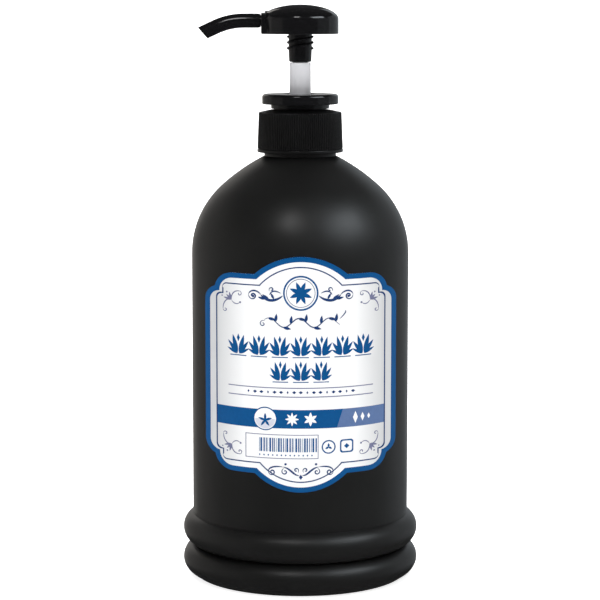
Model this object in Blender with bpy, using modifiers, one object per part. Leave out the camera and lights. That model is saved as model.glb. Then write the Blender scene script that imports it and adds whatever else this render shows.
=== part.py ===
"""Pump oil bottle: a one litre blow-moulded bottle with a screw-down dispenser pump.

The bottle's axis is Z, the foot stands on Z = 0, the label faces -Y and the spout points to -X.
Every dimension is in metres. The pump is drawn at the top of its stroke, unlocked.
"""

import math

import bmesh
import bpy
from mathutils import Matrix, Vector

MM = 0.001

# Gaps. Pieces that would touch keep CLEARANCE between them.
CLEARANCE = 0.3 * MM

# Bottle
BODY_RADIUS = 46.1 * MM
WALL = 1.3 * MM
LOW_BEAD = (43.9 * MM, 7.1 * MM)
LOW_BEAD_ARC = 6.45 * MM
LOW_BEAD_START = math.radians(-72.0)
HIGH_BEAD = (43.3 * MM, 20.3 * MM)
HIGH_BEAD_ARC = 7.0 * MM
NOTCH = (44.865 * MM, 13.477 * MM)
FOOT_INNER_RADIUS = 39.5 * MM
FOOT_OUTER_RADIUS = 44.9 * MM
PUSH_UP = 3.2 * MM
SHOULDER_Z = 138.3 * MM
SHOULDER_ARC = 39.3 * MM
SHOULDER_BREAK = math.radians(47.6)
FLANK_ARC = 81.6 * MM
NECK_RING_RADIUS = 15.2 * MM
NECK_RING_TOP = 181.1 * MM
NECK_RADIUS = 14.8 * MM
NECK_BORE = 12.4 * MM
RIM_Z = 193.5 * MM

# Neck thread, right-handed, one start. The ridges of neck and cap stop just short of each other.
NECK_PITCH = 4.233 * MM
NECK_TURNS = 1.5
NECK_RIDGE = 0.75 * MM
CLOSURE_RIDGE = 0.5 * MM
NECK_THREAD_START = 184.7 * MM

# Label
LABEL_GAP = 0.3 * MM
LABEL_THICKNESS = 0.2 * MM
LABEL_HALF_WIDTH = 47.8 * MM
LABEL_TOP = 141.7 * MM
LABEL_BOTTOM = 44.1 * MM
LABEL_SHOULDER_DROP = 7.6 * MM
LABEL_ARCH_HALF_WIDTH = 19.4 * MM
LABEL_LOBE = 9.4 * MM
LABEL_LOBE_STEP = 4.2 * MM

# Closure, the ribbed screw cap
CLOSURE_BASE_Z = 181.4 * MM
CLOSURE_TOP_Z = 198.3 * MM
CLOSURE_CROWN_Z = 199.4 * MM
CLOSURE_BAND_RADIUS = 18.2 * MM
CLOSURE_BAND_HEIGHT = 1.3 * MM
CLOSURE_BASE_RADIUS = 17.75 * MM
CLOSURE_TOP_RADIUS = 17.15 * MM
CLOSURE_BORE = 16.2 * MM
CLOSURE_HOLE = 11.2 * MM
CLOSURE_CEILING = 196.9 * MM
RIB_COUNT = 120
RIB_HEIGHT = 0.35 * MM
RIB_VALLEY = 0.03 * MM
RIB_CORE = 16.6 * MM

# Gasket and pump housing
GASKET_THICKNESS = 1.2 * MM
GASKET_BORE = 9.9 * MM
FLANGE_RADIUS = 14.8 * MM
FLANGE_THICKNESS = 1.3 * MM
HOUSING_HEAD_RADIUS = 9.2 * MM
HOUSING_HEAD_BORE = 8.0 * MM
HOUSING_HEAD_STEP = 190.0 * MM
HOUSING_TOP = 201.7 * MM
BARREL_RADIUS = 7.8 * MM
BARREL_BORE = 6.6 * MM
BARREL_FLOOR = 145.5 * MM
TAIL_RADIUS = 4.6 * MM
TAIL_BOTTOM = 126.5 * MM
VENT_Z = 184.5 * MM
VENT_RADIUS = 0.6 * MM

# Inlet valve and dip tube
BALL_RADIUS = 2.35 * MM
BALL_CHAMBER = 3.3 * MM
SEAT_BORE = 1.6 * MM
TUBE_RADIUS = 2.8 * MM
TUBE_BORE = 1.9 * MM
TUBE_BOTTOM = 9.0 * MM
TUBE_SOCKET_TOP = 137.6 * MM

# Return spring
SPRING_WIRE = 0.45 * MM
SPRING_RADIUS = 4.5 * MM
SPRING_TURNS = 7

# Locking collar
COLLAR_TOP = 205.9 * MM
COLLAR_DISC_Z = 201.6 * MM
COLLAR_DISC_RADIUS = 16.2 * MM
COLLAR_RING_RADIUS = 12.4 * MM
COLLAR_RING_Z = 199.75 * MM
COLLAR_SKIRT_RADIUS = 10.9 * MM
COLLAR_SKIRT_BORE = 9.5 * MM
COLLAR_TUBE_RADIUS = 7.7 * MM
COLLAR_TUBE_BOTTOM = 192.6 * MM
COLLAR_BORE = 6.05 * MM

# Lock thread between head and collar, right-handed, two starts
LOCK_STARTS = 2
LOCK_LEAD = 4.84 * MM
LOCK_CREST = 5.75 * MM
LOCK_TOP = 230.3 * MM
LOCK_TURNS = 1.2
LOCK_START = math.radians(-40.0)
COLLAR_THREAD_CREST = 5.2 * MM

# Stem and piston
STEM_RADIUS = 4.5 * MM
STEM_BOTTOM = 189.2 * MM
STEM_SHOULDER = 219.0 * MM
STEM_TOP = 231.7 * MM
STEM_SPIGOT = 3.25 * MM
STEM_BORE = 2.2 * MM
ROD_SOCKET = 2.7 * MM
ROD_RADIUS = 2.4 * MM
ROD_TOP = 194.6 * MM
ROD_PLUG_RADIUS = 5.0 * MM
ROD_PLUG_Z = 176.6 * MM
PISTON_TOP = 187.2 * MM
PISTON_HEIGHT = 7.0 * MM

# Head
HEAD_RADIUS = 16.2 * MM
HEAD_BASE_Z = 231.3 * MM
HEAD_SHOULDER_Z = 237.3 * MM
HEAD_TOP_Z = 243.3 * MM
HEAD_CURVE_POWER = 1.98
HEAD_WALL = 1.6 * MM
SLEEVE_BOTTOM = 219.3 * MM
SLEEVE_RADIUS = 4.75 * MM
SLEEVE_TOP_RADIUS = 4.95 * MM
SLEEVE_BORE = 3.55 * MM
CHANNEL_RADIUS = 1.9 * MM
BOSS_FACE_X = -16.4 * MM
BOSS_HALF_WIDTH = 7.3 * MM
BOSS_TOP_Z = 239.9 * MM
SPOUT_Z = 236.7 * MM

# Nozzle
NOZZLE_RADIUS = 2.9 * MM
NOZZLE_BORE = 1.9 * MM
SPIGOT_RADIUS = 2.3 * MM
SPIGOT_BORE = 1.5 * MM
SPIGOT_END = -10.6 * MM
NOZZLE_BEND_START = -23.7 * MM
NOZZLE_BEND = 28.5 * MM
NOZZLE_DROOP = math.radians(25.0)
NOZZLE_TAIL = 5.6 * MM
NOZZLE_TIP_CUT = math.radians(16.0)

BIG = 32
SMALL = 20
BEAD_STEPS = 3
SHOULDER_STEPS = 8

for old in list(bpy.data.objects):
    bpy.data.objects.remove(old)

PARTS = bpy.data.collections.new("pump_oil_bottle")
CUTTERS = bpy.data.collections.new("cutters")
bpy.context.scene.collection.children.link(PARTS)
bpy.context.scene.collection.children.link(CUTTERS)


def material(name, colour, roughness, metallic=0.0):
    """A Principled BSDF of one colour."""
    made = bpy.data.materials.new(name)
    made.use_nodes = True
    shader = made.node_tree.nodes["Principled BSDF"]
    shader.inputs["Base Color"].default_value = (*colour, 1.0)
    shader.inputs["Roughness"].default_value = roughness
    shader.inputs["Metallic"].default_value = metallic
    return made


def part(obj, colour):
    """Puts an object among the parts, with its material and smooth shading across shallow edges."""
    PARTS.objects.link(obj)
    obj.data.materials.append(colour)
    return obj


def helper(obj):
    """Puts an object among the cutters, where it is neither rendered nor built."""
    CUTTERS.objects.link(obj)
    obj.hide_render = True
    obj.display_type = "WIRE"
    return obj


def arc(centre, radius, start, end, steps):
    """Points on an arc in the (radius, height) plane, angles from the outward direction."""
    points = []
    for i in range(steps + 1):
        angle = start + (end - start) * i / steps
        points.append((centre[0] + radius * math.cos(angle), centre[1] + radius * math.sin(angle)))
    return points


def turned(name, profile, segments, closed):
    """A solid of revolution. The profile runs down the outer side; closed joins its ends off the axis."""
    mesh = bpy.data.meshes.new(name)
    edges = [(i, i + 1) for i in range(len(profile) - 1)]
    if closed:
        edges.append((len(profile) - 1, 0))
    mesh.from_pydata([(radius, 0.0, height) for radius, height in profile], edges, [])
    obj = bpy.data.objects.new(name, mesh)
    screw = obj.modifiers.new("turn", "SCREW")
    screw.steps = segments
    screw.render_steps = segments
    screw.use_merge_vertices = True
    screw.merge_threshold = 1e-5
    screw.use_smooth_shade = True
    return obj


def boolean(obj, operand, operation):
    """Joins or cuts obj with a helper object."""
    modifier = obj.modifiers.new(operation.lower(), "BOOLEAN")
    modifier.operation = operation
    modifier.object = operand
    return obj


def mesh_object(name, mesh_maker, matrix=None):
    """An object whose mesh a bmesh function makes, moved by matrix."""
    bm = bmesh.new()
    mesh_maker(bm)
    if matrix is not None:
        bmesh.ops.transform(bm, matrix=matrix, verts=bm.verts)
    bmesh.ops.recalc_face_normals(bm, faces=bm.faces)
    mesh = bpy.data.meshes.new(name)
    bm.to_mesh(mesh)
    bm.free()
    return bpy.data.objects.new(name, mesh)


def box(name, low, high):
    """A box between two corners."""
    size = Vector(high) - Vector(low)
    middle = (Vector(high) + Vector(low)) / 2
    place = Matrix.Translation(middle) @ Matrix.Diagonal((*size, 1.0))
    return mesh_object(name, lambda bm: bmesh.ops.create_cube(bm, size=1.0), place)


def rod(name, start, end, radius, segments=SMALL):
    """A cylinder from start to end."""
    line = Vector(end) - Vector(start)
    turn = line.to_track_quat("Z", "Y").to_matrix().to_4x4()
    place = Matrix.Translation((Vector(start) + Vector(end)) / 2) @ turn

    def make(bm):
        bmesh.ops.create_cone(
            bm, cap_ends=True, segments=segments, radius1=radius, radius2=radius, depth=line.length
        )

    return mesh_object(name, make, place)


def wire(name, points, radius, resolution=2, radii=None):
    """A round bar along points, as a curve with a bevel. radii scales its thickness point by point."""
    curve = bpy.data.curves.new(name, "CURVE")
    curve.dimensions = "3D"
    curve.bevel_depth = radius
    curve.bevel_resolution = resolution
    curve.use_fill_caps = True
    spline = curve.splines.new("POLY")
    spline.points.add(len(points) - 1)
    for i, point in enumerate(points):
        spline.points[i].co = (*point, 1.0)
        spline.points[i].radius = radii[i] if radii else 1.0
    return bpy.data.objects.new(name, curve)


def meshed(curve_object):
    """The same shape as a mesh object with welded caps, so that a Boolean can use it."""
    CUTTERS.objects.link(curve_object)
    bpy.context.view_layer.update()
    graph = bpy.context.evaluated_depsgraph_get()
    mesh = bpy.data.meshes.new_from_object(curve_object.evaluated_get(graph))
    bm = bmesh.new()
    bm.from_mesh(mesh)
    bmesh.ops.remove_doubles(bm, verts=bm.verts, dist=1e-6)
    bmesh.ops.recalc_face_normals(bm, faces=bm.faces)
    bm.to_mesh(mesh)
    bm.free()
    name = curve_object.name
    bpy.data.objects.remove(curve_object)
    return bpy.data.objects.new(name, mesh)


def ridge(name, root, crest, foot_width, start_z, lead, turns, start_angle, steps_per_turn=16):
    """One right-handed thread ridge: a trapezoid swept on a helix, thinning out at both ends."""
    steps = round(turns * steps_per_turn)

    def make(bm):
        rows = []
        for i in range(steps + 1):
            turn = turns * i / steps
            angle = start_angle + 2 * math.pi * turn
            full = min(1.0, 0.15 + 0.5 * min(i, steps - i))
            tip = root + (crest - root) * full
            half = foot_width / 2 * (0.5 + 0.5 * full)
            z = start_z + lead * turn
            section = [(root, z - half), (tip, z - half * 0.35), (tip, z + half * 0.35), (root, z + half)]
            row = [bm.verts.new((r * math.cos(angle), r * math.sin(angle), h)) for r, h in section]
            rows.append(row)
        for low, high in zip(rows, rows[1:]):
            for k in range(4):
                bm.faces.new((low[k], low[(k + 1) % 4], high[(k + 1) % 4], high[k]))
        bm.faces.new(rows[0])
        bm.faces.new(rows[-1])

    return helper(mesh_object(name, make))


def beads(offset, steps):
    """The two foot beads, from the foot to the straight body, moved inwards by offset."""
    low = LOW_BEAD_ARC - offset
    high = HIGH_BEAD_ARC - offset
    low_end = math.atan2(NOTCH[1] - LOW_BEAD[1], NOTCH[0] - LOW_BEAD[0])
    high_start = math.atan2(NOTCH[1] - HIGH_BEAD[1], NOTCH[0] - HIGH_BEAD[0])
    high_end = math.acos((BODY_RADIUS - offset - HIGH_BEAD[0]) / high)
    lower = arc(LOW_BEAD, low, LOW_BEAD_START, 0.0, steps)
    lower += arc(LOW_BEAD, low, 0.0, low_end, steps)[1:]
    upper = arc(HIGH_BEAD, high, high_start, 0.0, steps)
    upper += arc(HIGH_BEAD, high, 0.0, high_end, steps)[1:]
    if offset > 0:
        return lower + [(NOTCH[0] - offset, NOTCH[1])] + upper
    return lower + upper[1:]


def shoulder(offset, steps, end_radius):
    """The domed shoulder and its flatter flank up to a radius, moved inwards by offset."""
    centre = (BODY_RADIUS - SHOULDER_ARC, SHOULDER_Z)
    back = SHOULDER_ARC - FLANK_ARC
    flank = (
        centre[0] + back * math.cos(SHOULDER_BREAK),
        centre[1] + back * math.sin(SHOULDER_BREAK),
    )
    end = math.acos((end_radius - flank[0]) / (FLANK_ARC - offset))
    points = arc(centre, SHOULDER_ARC - offset, 0.0, SHOULDER_BREAK, steps)
    return points + arc(flank, FLANK_ARC - offset, SHOULDER_BREAK, end, steps // 2)[1:]


def bottle(colour):
    """The blow-moulded shell, open at the neck, with its thread."""
    outside = [(0.0, PUSH_UP), (FOOT_INNER_RADIUS * 0.6, PUSH_UP * 0.85)]
    outside += [(FOOT_INNER_RADIUS, 0.0), (FOOT_OUTER_RADIUS, 0.0)]
    outside += [(FOOT_OUTER_RADIUS + 0.6 * MM, 0.4 * MM)]
    outside += beads(0.0, BEAD_STEPS) + shoulder(0.0, SHOULDER_STEPS, NECK_RING_RADIUS)
    outside += [(NECK_RING_RADIUS, NECK_RING_TOP), (NECK_RADIUS, NECK_RING_TOP + 0.5 * MM)]
    outside += [(NECK_RADIUS, RIM_Z)]
    inside = [(0.0, PUSH_UP + WALL), (FOOT_INNER_RADIUS * 0.6, PUSH_UP * 0.85 + WALL)]
    inside += [(FOOT_INNER_RADIUS, WALL), (FOOT_OUTER_RADIUS - WALL, WALL)]
    inside += beads(WALL, 2) + shoulder(WALL, 6, NECK_BORE)
    inside += [(NECK_BORE, RIM_Z)]
    obj = turned("bottle", inside + outside[::-1], BIG, closed=False)
    root = NECK_RADIUS - 0.4 * MM
    crest = NECK_RADIUS + NECK_RIDGE
    thread = ridge(
        "neck_thread", root, crest, 2.4 * MM, NECK_THREAD_START, NECK_PITCH, NECK_TURNS, 0.0
    )
    return part(boolean(obj, thread, "UNION"), colour)


def label_outline():
    """Half of the label's outline on its unrolled sheet, from the top centre to the bottom centre."""
    width = LABEL_HALF_WIDTH
    rise = LABEL_SHOULDER_DROP
    half = LABEL_ARCH_HALF_WIDTH
    crown = (half * half + rise * rise) / (2 * rise)
    sweep = math.asin(half / crown)
    top = []
    for i in range(9):
        angle = sweep * i / 8
        top.append((crown * math.sin(angle), LABEL_TOP - crown + crown * math.cos(angle)))
    lobe = LABEL_LOBE
    step = LABEL_LOBE_STEP
    shoulder_z = LABEL_TOP - rise
    quarter = math.pi / 2
    reach = math.sqrt(lobe * lobe / 2 - step * step / 4)
    notch = math.atan2(reach - step / 2, reach + step / 2)
    top += arc((width - lobe - step, shoulder_z - lobe), lobe, quarter, notch, 4)
    top += arc((width - lobe, shoulder_z - lobe - step), lobe, quarter - notch, 0.0, 4)[1:]
    middle = (LABEL_TOP + LABEL_BOTTOM) / 2
    return top + [(x, 2 * middle - z) for x, z in reversed(top)]


def front_label(colour):
    """A printed sheet wrapped on the bottle: a thin turned shell, trimmed by its outline."""
    low = LABEL_BOTTOM - 5 * MM

    def skin(offset):
        side = [(BODY_RADIUS - offset, low)]
        side += shoulder(offset, SHOULDER_STEPS, NECK_RING_RADIUS)[:3]
        return side

    sheet_out = skin(-LABEL_GAP - LABEL_THICKNESS)
    sheet_in = skin(-LABEL_GAP)
    obj = turned("front_label", sheet_out[::-1] + sheet_in, BIG, closed=True)
    half = label_outline()
    outline = [(x, z) for x, z in half] + [(-x, z) for x, z in reversed(half[1:-1])]

    def make(bm):
        near = -BODY_RADIUS * 1.4
        ring = [bm.verts.new((BODY_RADIUS * math.sin(x / BODY_RADIUS), near, z)) for x, z in outline]
        face = bm.faces.new(ring)
        swept = bmesh.ops.extrude_face_region(bm, geom=[face])
        moved = [item for item in swept["geom"] if isinstance(item, bmesh.types.BMVert)]
        bmesh.ops.translate(bm, verts=moved, vec=(0.0, BODY_RADIUS, 0.0))

    trim = helper(mesh_object("label_trim", make))
    return part(boolean(obj, trim, "INTERSECT"), colour)


def closure(colour):
    """The ribbed screw cap: it turns freely about the pump and screws onto the neck."""
    band_top = CLOSURE_BASE_Z + CLOSURE_BAND_HEIGHT
    chamfer = 0.25 * MM
    corner = 0.12 * MM
    profile = [
        (CLOSURE_HOLE, CLOSURE_CROWN_Z),
        (CLOSURE_TOP_RADIUS - corner, CLOSURE_TOP_Z),
        (CLOSURE_TOP_RADIUS, CLOSURE_TOP_Z - corner),
        (CLOSURE_BASE_RADIUS, band_top),
        (CLOSURE_BAND_RADIUS, band_top - chamfer),
        (CLOSURE_BAND_RADIUS, CLOSURE_BASE_Z + chamfer),
        (CLOSURE_BAND_RADIUS - chamfer, CLOSURE_BASE_Z),
        (CLOSURE_BORE + chamfer, CLOSURE_BASE_Z),
        (CLOSURE_BORE, CLOSURE_BASE_Z + chamfer),
        (CLOSURE_BORE, CLOSURE_CEILING),
        (CLOSURE_HOLE, CLOSURE_CEILING),
    ]
    obj = turned("closure", profile, BIG, closed=True)
    low = NECK_THREAD_START - NECK_PITCH / 2
    root = CLOSURE_BORE + 0.4 * MM
    crest = CLOSURE_BORE - CLOSURE_RIDGE
    thread = ridge("closure_thread", root, crest, 1.6 * MM, low, NECK_PITCH, NECK_TURNS, 0.0)
    boolean(obj, thread, "UNION")
    return part(boolean(obj, closure_ribs(band_top), "UNION"), colour)


def closure_ribs(low_z):
    """The ring of upright grip ribs around the cap, which follow its draft."""
    high_z = CLOSURE_TOP_Z - 0.2 * MM
    floor_z = low_z - 0.4 * MM
    valley = RIB_VALLEY

    def make(bm):
        rings = []
        for z, radius in ((floor_z, CLOSURE_BASE_RADIUS), (high_z, CLOSURE_TOP_RADIUS)):
            ring = []
            for i in range(2 * RIB_COUNT):
                angle = math.pi * i / RIB_COUNT
                reach = radius + (RIB_HEIGHT if i % 2 else valley)
                ring.append(bm.verts.new((reach * math.cos(angle), reach * math.sin(angle), z)))
            rings.append(ring)
        low, high = rings
        for i in range(2 * RIB_COUNT):
            after = (i + 1) % (2 * RIB_COUNT)
            bm.faces.new((low[i], low[after], high[after], high[i]))
        bm.faces.new(low)
        bm.faces.new(high)

    ring = mesh_object("closure_ribs", make)
    hollow = rod("rib_core", (0.0, 0.0, floor_z - MM), (0.0, 0.0, high_z + MM), RIB_CORE, BIG)
    return helper(boolean(ring, helper(hollow), "DIFFERENCE"))


def gasket(colour):
    """The flat seal between the neck's rim and the housing's flange."""
    low = RIM_Z + CLEARANCE
    high = low + GASKET_THICKNESS
    profile = [(GASKET_BORE, high), (FLANGE_RADIUS, high), (FLANGE_RADIUS, low), (GASKET_BORE, low)]
    return part(turned("neck_gasket", profile, BIG, closed=True), colour)


def housing(colour):
    """The pump's cylinder: collar spigot, flange, barrel, inlet seat and dip tube socket."""
    flange_top = CLOSURE_CEILING - CLEARANCE
    flange_low = flange_top - FLANGE_THICKNESS
    floor = BARREL_FLOOR
    seat_z = floor - 5.8 * MM
    profile = [
        (HOUSING_HEAD_BORE, HOUSING_TOP),
        (HOUSING_HEAD_RADIUS, HOUSING_TOP),
        (HOUSING_HEAD_RADIUS, flange_top),
        (FLANGE_RADIUS, flange_top),
        (FLANGE_RADIUS, flange_low),
        (HOUSING_HEAD_RADIUS, flange_low),
        (HOUSING_HEAD_RADIUS, HOUSING_HEAD_STEP - 1.2 * MM),
        (BARREL_RADIUS, HOUSING_HEAD_STEP - 3.2 * MM),
        (BARREL_RADIUS, floor - 0.6 * MM),
        (TAIL_RADIUS, floor - 3.6 * MM),
        (TAIL_RADIUS, TAIL_BOTTOM),
        (TUBE_RADIUS + CLEARANCE, TAIL_BOTTOM),
        (TUBE_RADIUS + CLEARANCE, TUBE_SOCKET_TOP + CLEARANCE),
        (SEAT_BORE, TUBE_SOCKET_TOP + CLEARANCE),
        (SEAT_BORE, seat_z),
        (BALL_CHAMBER, seat_z + BALL_CHAMBER - SEAT_BORE),
        (BALL_CHAMBER, floor),
        (BARREL_BORE, floor),
        (BARREL_BORE, HOUSING_HEAD_STEP),
        (HOUSING_HEAD_BORE, HOUSING_HEAD_STEP),
    ]
    obj = turned("pump_housing", profile, SMALL, closed=True)
    vent = helper(rod("vent", (0.0, 0.0, VENT_Z), (0.0, 2 * BARREL_RADIUS, VENT_Z), VENT_RADIUS, 12))
    return part(boolean(obj, vent, "DIFFERENCE"), colour)


def ball_height():
    """Height of the inlet ball's centre on its conical seat, at rest."""
    seat_z = BARREL_FLOOR - 5.8 * MM
    return seat_z - SEAT_BORE + math.sqrt(2) * (BALL_RADIUS + CLEARANCE / 2)


def inlet_ball(colour):
    """The check valve's ball."""
    place = Matrix.Translation((0.0, 0.0, ball_height()))

    def make(bm):
        bmesh.ops.create_uvsphere(bm, u_segments=12, v_segments=8, radius=BALL_RADIUS)

    return part(mesh_object("inlet_ball", make, place), colour)


def ball_cage(colour):
    """The insert that keeps the ball in its chamber and carries the spring."""
    low = BARREL_FLOOR + CLEARANCE
    plate = low + 1.2 * MM
    spigot = SPRING_RADIUS - SPRING_WIRE - 0.5 * MM
    profile = [
        (0.0, plate + 2.6 * MM),
        (spigot - 0.6 * MM, plate + 2.6 * MM),
        (spigot, plate + 2.0 * MM),
        (spigot, plate),
        (BARREL_BORE - CLEARANCE, plate),
        (BARREL_BORE - CLEARANCE, low),
        (0.0, low),
    ]
    obj = turned("ball_cage", profile, SMALL, closed=False)
    for i in range(3):
        angle = 2 * math.pi * i / 3
        x = 2.1 * MM * math.cos(angle)
        y = 2.1 * MM * math.sin(angle)
        port = rod(f"cage_port_{i}", (x, y, low - MM), (x, y, plate + 4 * MM), 0.8 * MM, 12)
        boolean(obj, helper(port), "DIFFERENCE")
    return part(obj, colour)


def dip_tube(colour):
    """The suction tube, cut aslant at its foot so that it can't seal against the floor."""
    profile = [
        (TUBE_BORE, TUBE_SOCKET_TOP),
        (TUBE_RADIUS, TUBE_SOCKET_TOP),
        (TUBE_RADIUS, TUBE_BOTTOM),
        (TUBE_BORE, TUBE_BOTTOM),
    ]
    obj = turned("dip_tube", profile, 24, closed=True)
    reach = 4 * TUBE_RADIUS
    slab = box("tube_cut", (-reach, -reach, -reach), (reach, reach, 0.0))
    slab.data.transform(Matrix.Rotation(math.radians(40.0), 4, "Y"))
    rise = TUBE_RADIUS * math.tan(math.radians(40.0))
    slab.data.transform(Matrix.Translation((0.0, 0.0, TUBE_BOTTOM + rise)))
    return part(boolean(obj, helper(slab), "DIFFERENCE"), colour)


def return_spring(colour):
    """The steel spring between the ball cage and the piston rod, with closed end coils."""
    low = BARREL_FLOOR + CLEARANCE + 1.2 * MM + CLEARANCE + SPRING_WIRE
    high = ROD_PLUG_Z - CLEARANCE - SPRING_WIRE
    coil = 2.2 * SPRING_WIRE
    steps = 12 * SPRING_TURNS
    points = []
    for i in range(steps + 1):
        turn = SPRING_TURNS * i / steps
        free = min(max(turn - 1, 0.0), SPRING_TURNS - 2)
        closed = turn - free
        z = low + closed * coil + free * (high - low - 2 * coil) / (SPRING_TURNS - 2)
        angle = 2 * math.pi * turn
        points.append((SPRING_RADIUS * math.cos(angle), SPRING_RADIUS * math.sin(angle), z))
    return part(wire("return_spring", points, SPRING_WIRE, 1), colour)


def locking_collar(colour):
    """The disc above the cap. It snaps into the housing and holds the female lock thread."""
    edge = 0.5 * MM
    profile = [
        (COLLAR_BORE + 0.5 * MM, COLLAR_TOP),
        (COLLAR_DISC_RADIUS - edge, COLLAR_TOP),
        (COLLAR_DISC_RADIUS, COLLAR_TOP - edge),
        (COLLAR_DISC_RADIUS, COLLAR_DISC_Z + 0.5 * edge),
        (COLLAR_DISC_RADIUS - 0.5 * edge, COLLAR_DISC_Z),
        (COLLAR_RING_RADIUS, COLLAR_DISC_Z),
        (COLLAR_RING_RADIUS, COLLAR_RING_Z),
        (COLLAR_SKIRT_RADIUS, COLLAR_RING_Z),
        (COLLAR_SKIRT_RADIUS, CLOSURE_CEILING),
        (COLLAR_SKIRT_BORE, CLOSURE_CEILING),
        (COLLAR_SKIRT_BORE, HOUSING_TOP + CLEARANCE),
        (COLLAR_TUBE_RADIUS, HOUSING_TOP + CLEARANCE),
        (COLLAR_TUBE_RADIUS, COLLAR_TUBE_BOTTOM),
        (COLLAR_BORE, COLLAR_TUBE_BOTTOM),
        (COLLAR_BORE, COLLAR_TOP - 0.5 * MM),
    ]
    obj = turned("locking_collar", profile, BIG, closed=True)
    root = COLLAR_BORE + 0.4 * MM
    low = COLLAR_TUBE_BOTTOM + 5 * MM
    for start in range(LOCK_STARTS):
        angle = 2 * math.pi * start / LOCK_STARTS
        name = f"collar_thread_{start}"
        thread = ridge(name, root, COLLAR_THREAD_CREST, 1.1 * MM, low, LOCK_LEAD, 1.0, angle)
        boolean(obj, thread, "UNION")
    return part(obj, colour)


def stem_wiper(colour):
    """The soft ring that wipes the stem, held between the housing's step and the collar."""
    low = HOUSING_HEAD_STEP + CLEARANCE
    high = COLLAR_TUBE_BOTTOM - CLEARANCE
    middle = (low + high) / 2
    inner = STEM_RADIUS + CLEARANCE
    outer = HOUSING_HEAD_BORE - CLEARANCE
    profile = [
        (inner, high),
        (inner + 0.6 * MM, high),
        (inner + 1.0 * MM, middle + 0.3 * MM),
        (outer, middle + 0.3 * MM),
        (outer, low),
        (inner, low),
    ]
    return part(turned("stem_wiper", profile, SMALL, closed=True), colour)


def piston_rod(colour):
    """The core that carries the piston: plug below, hollow shaft pressed into the stem."""
    seat_top = PISTON_TOP - PISTON_HEIGHT - 0.5 * MM
    spigot = SPRING_RADIUS - SPRING_WIRE - 0.5 * MM
    core = 1.3 * MM
    core_floor = seat_top + 0.6 * MM
    profile = [
        (core, ROD_TOP),
        (ROD_RADIUS, ROD_TOP),
        (ROD_RADIUS, seat_top),
        (ROD_PLUG_RADIUS, ROD_PLUG_Z + 1.1 * MM),
        (ROD_PLUG_RADIUS, ROD_PLUG_Z),
        (spigot, ROD_PLUG_Z),
        (spigot, ROD_PLUG_Z - 2.0 * MM),
        (spigot - 0.7 * MM, ROD_PLUG_Z - 2.8 * MM),
        (0.0, ROD_PLUG_Z - 2.8 * MM),
    ]
    obj = turned("piston_rod", [(0.0, core_floor), (core, core_floor)] + profile, 24, closed=False)
    port_z = core_floor + 1.0 * MM
    port = rod("rod_port", (-4 * MM, 0.0, port_z), (4 * MM, 0.0, port_z), 0.7 * MM, 12)
    return part(boolean(obj, helper(port), "DIFFERENCE"), colour)


def piston_seal(colour):
    """The floating piston: two outer lips on the barrel, an inner lip on the rod's plug."""
    top = PISTON_TOP
    low = PISTON_TOP - PISTON_HEIGHT
    lip = BARREL_BORE - CLEARANCE
    waist = lip - 1.0 * MM
    inner = ROD_RADIUS + CLEARANCE
    profile = [
        (inner, top),
        (inner + 1.0 * MM, top),
        (inner + 1.3 * MM, top - 1.8 * MM),
        (lip - 0.8 * MM, top - 0.5 * MM),
        (lip, top - 0.5 * MM),
        (waist, top - 2.4 * MM),
        (waist, low + 2.4 * MM),
        (lip, low),
        (lip - 0.7 * MM, low),
        (inner + 1.5 * MM, low + 1.6 * MM),
        (inner + 0.9 * MM, low + 0.6 * MM),
        (inner + 0.9 * MM, low + 2.6 * MM),
        (inner, low + 3.2 * MM),
    ]
    return part(turned("piston_seal", profile, SMALL, closed=True), colour)


def stem(colour):
    """The white hollow stem between the head and the piston rod."""
    profile = [
        (STEM_BORE, STEM_TOP),
        (STEM_SPIGOT - 0.3 * MM, STEM_TOP),
        (STEM_SPIGOT, STEM_TOP - 0.3 * MM),
        (STEM_SPIGOT, STEM_SHOULDER),
        (STEM_RADIUS, STEM_SHOULDER),
        (STEM_RADIUS, STEM_BOTTOM),
        (ROD_SOCKET, STEM_BOTTOM),
        (ROD_SOCKET, ROD_TOP + CLEARANCE),
        (STEM_BORE, ROD_TOP + CLEARANCE),
    ]
    return part(turned("stem", profile, SMALL, closed=True), colour)


def dome(radius, low_z, high_z, steps, stop_radius=0.0):
    """A flattened dome's profile, from its centre out to its widest radius."""
    points = []
    for i in range(steps + 1):
        angle = math.pi / 2 * i / steps
        across = math.sin(angle) ** (2 / HEAD_CURVE_POWER)
        up = math.cos(angle) ** (2 / HEAD_CURVE_POWER) if i < steps else 0.0
        if radius * across >= stop_radius:
            points.append((radius * across, low_z + (high_z - low_z) * up))
    return points


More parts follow.
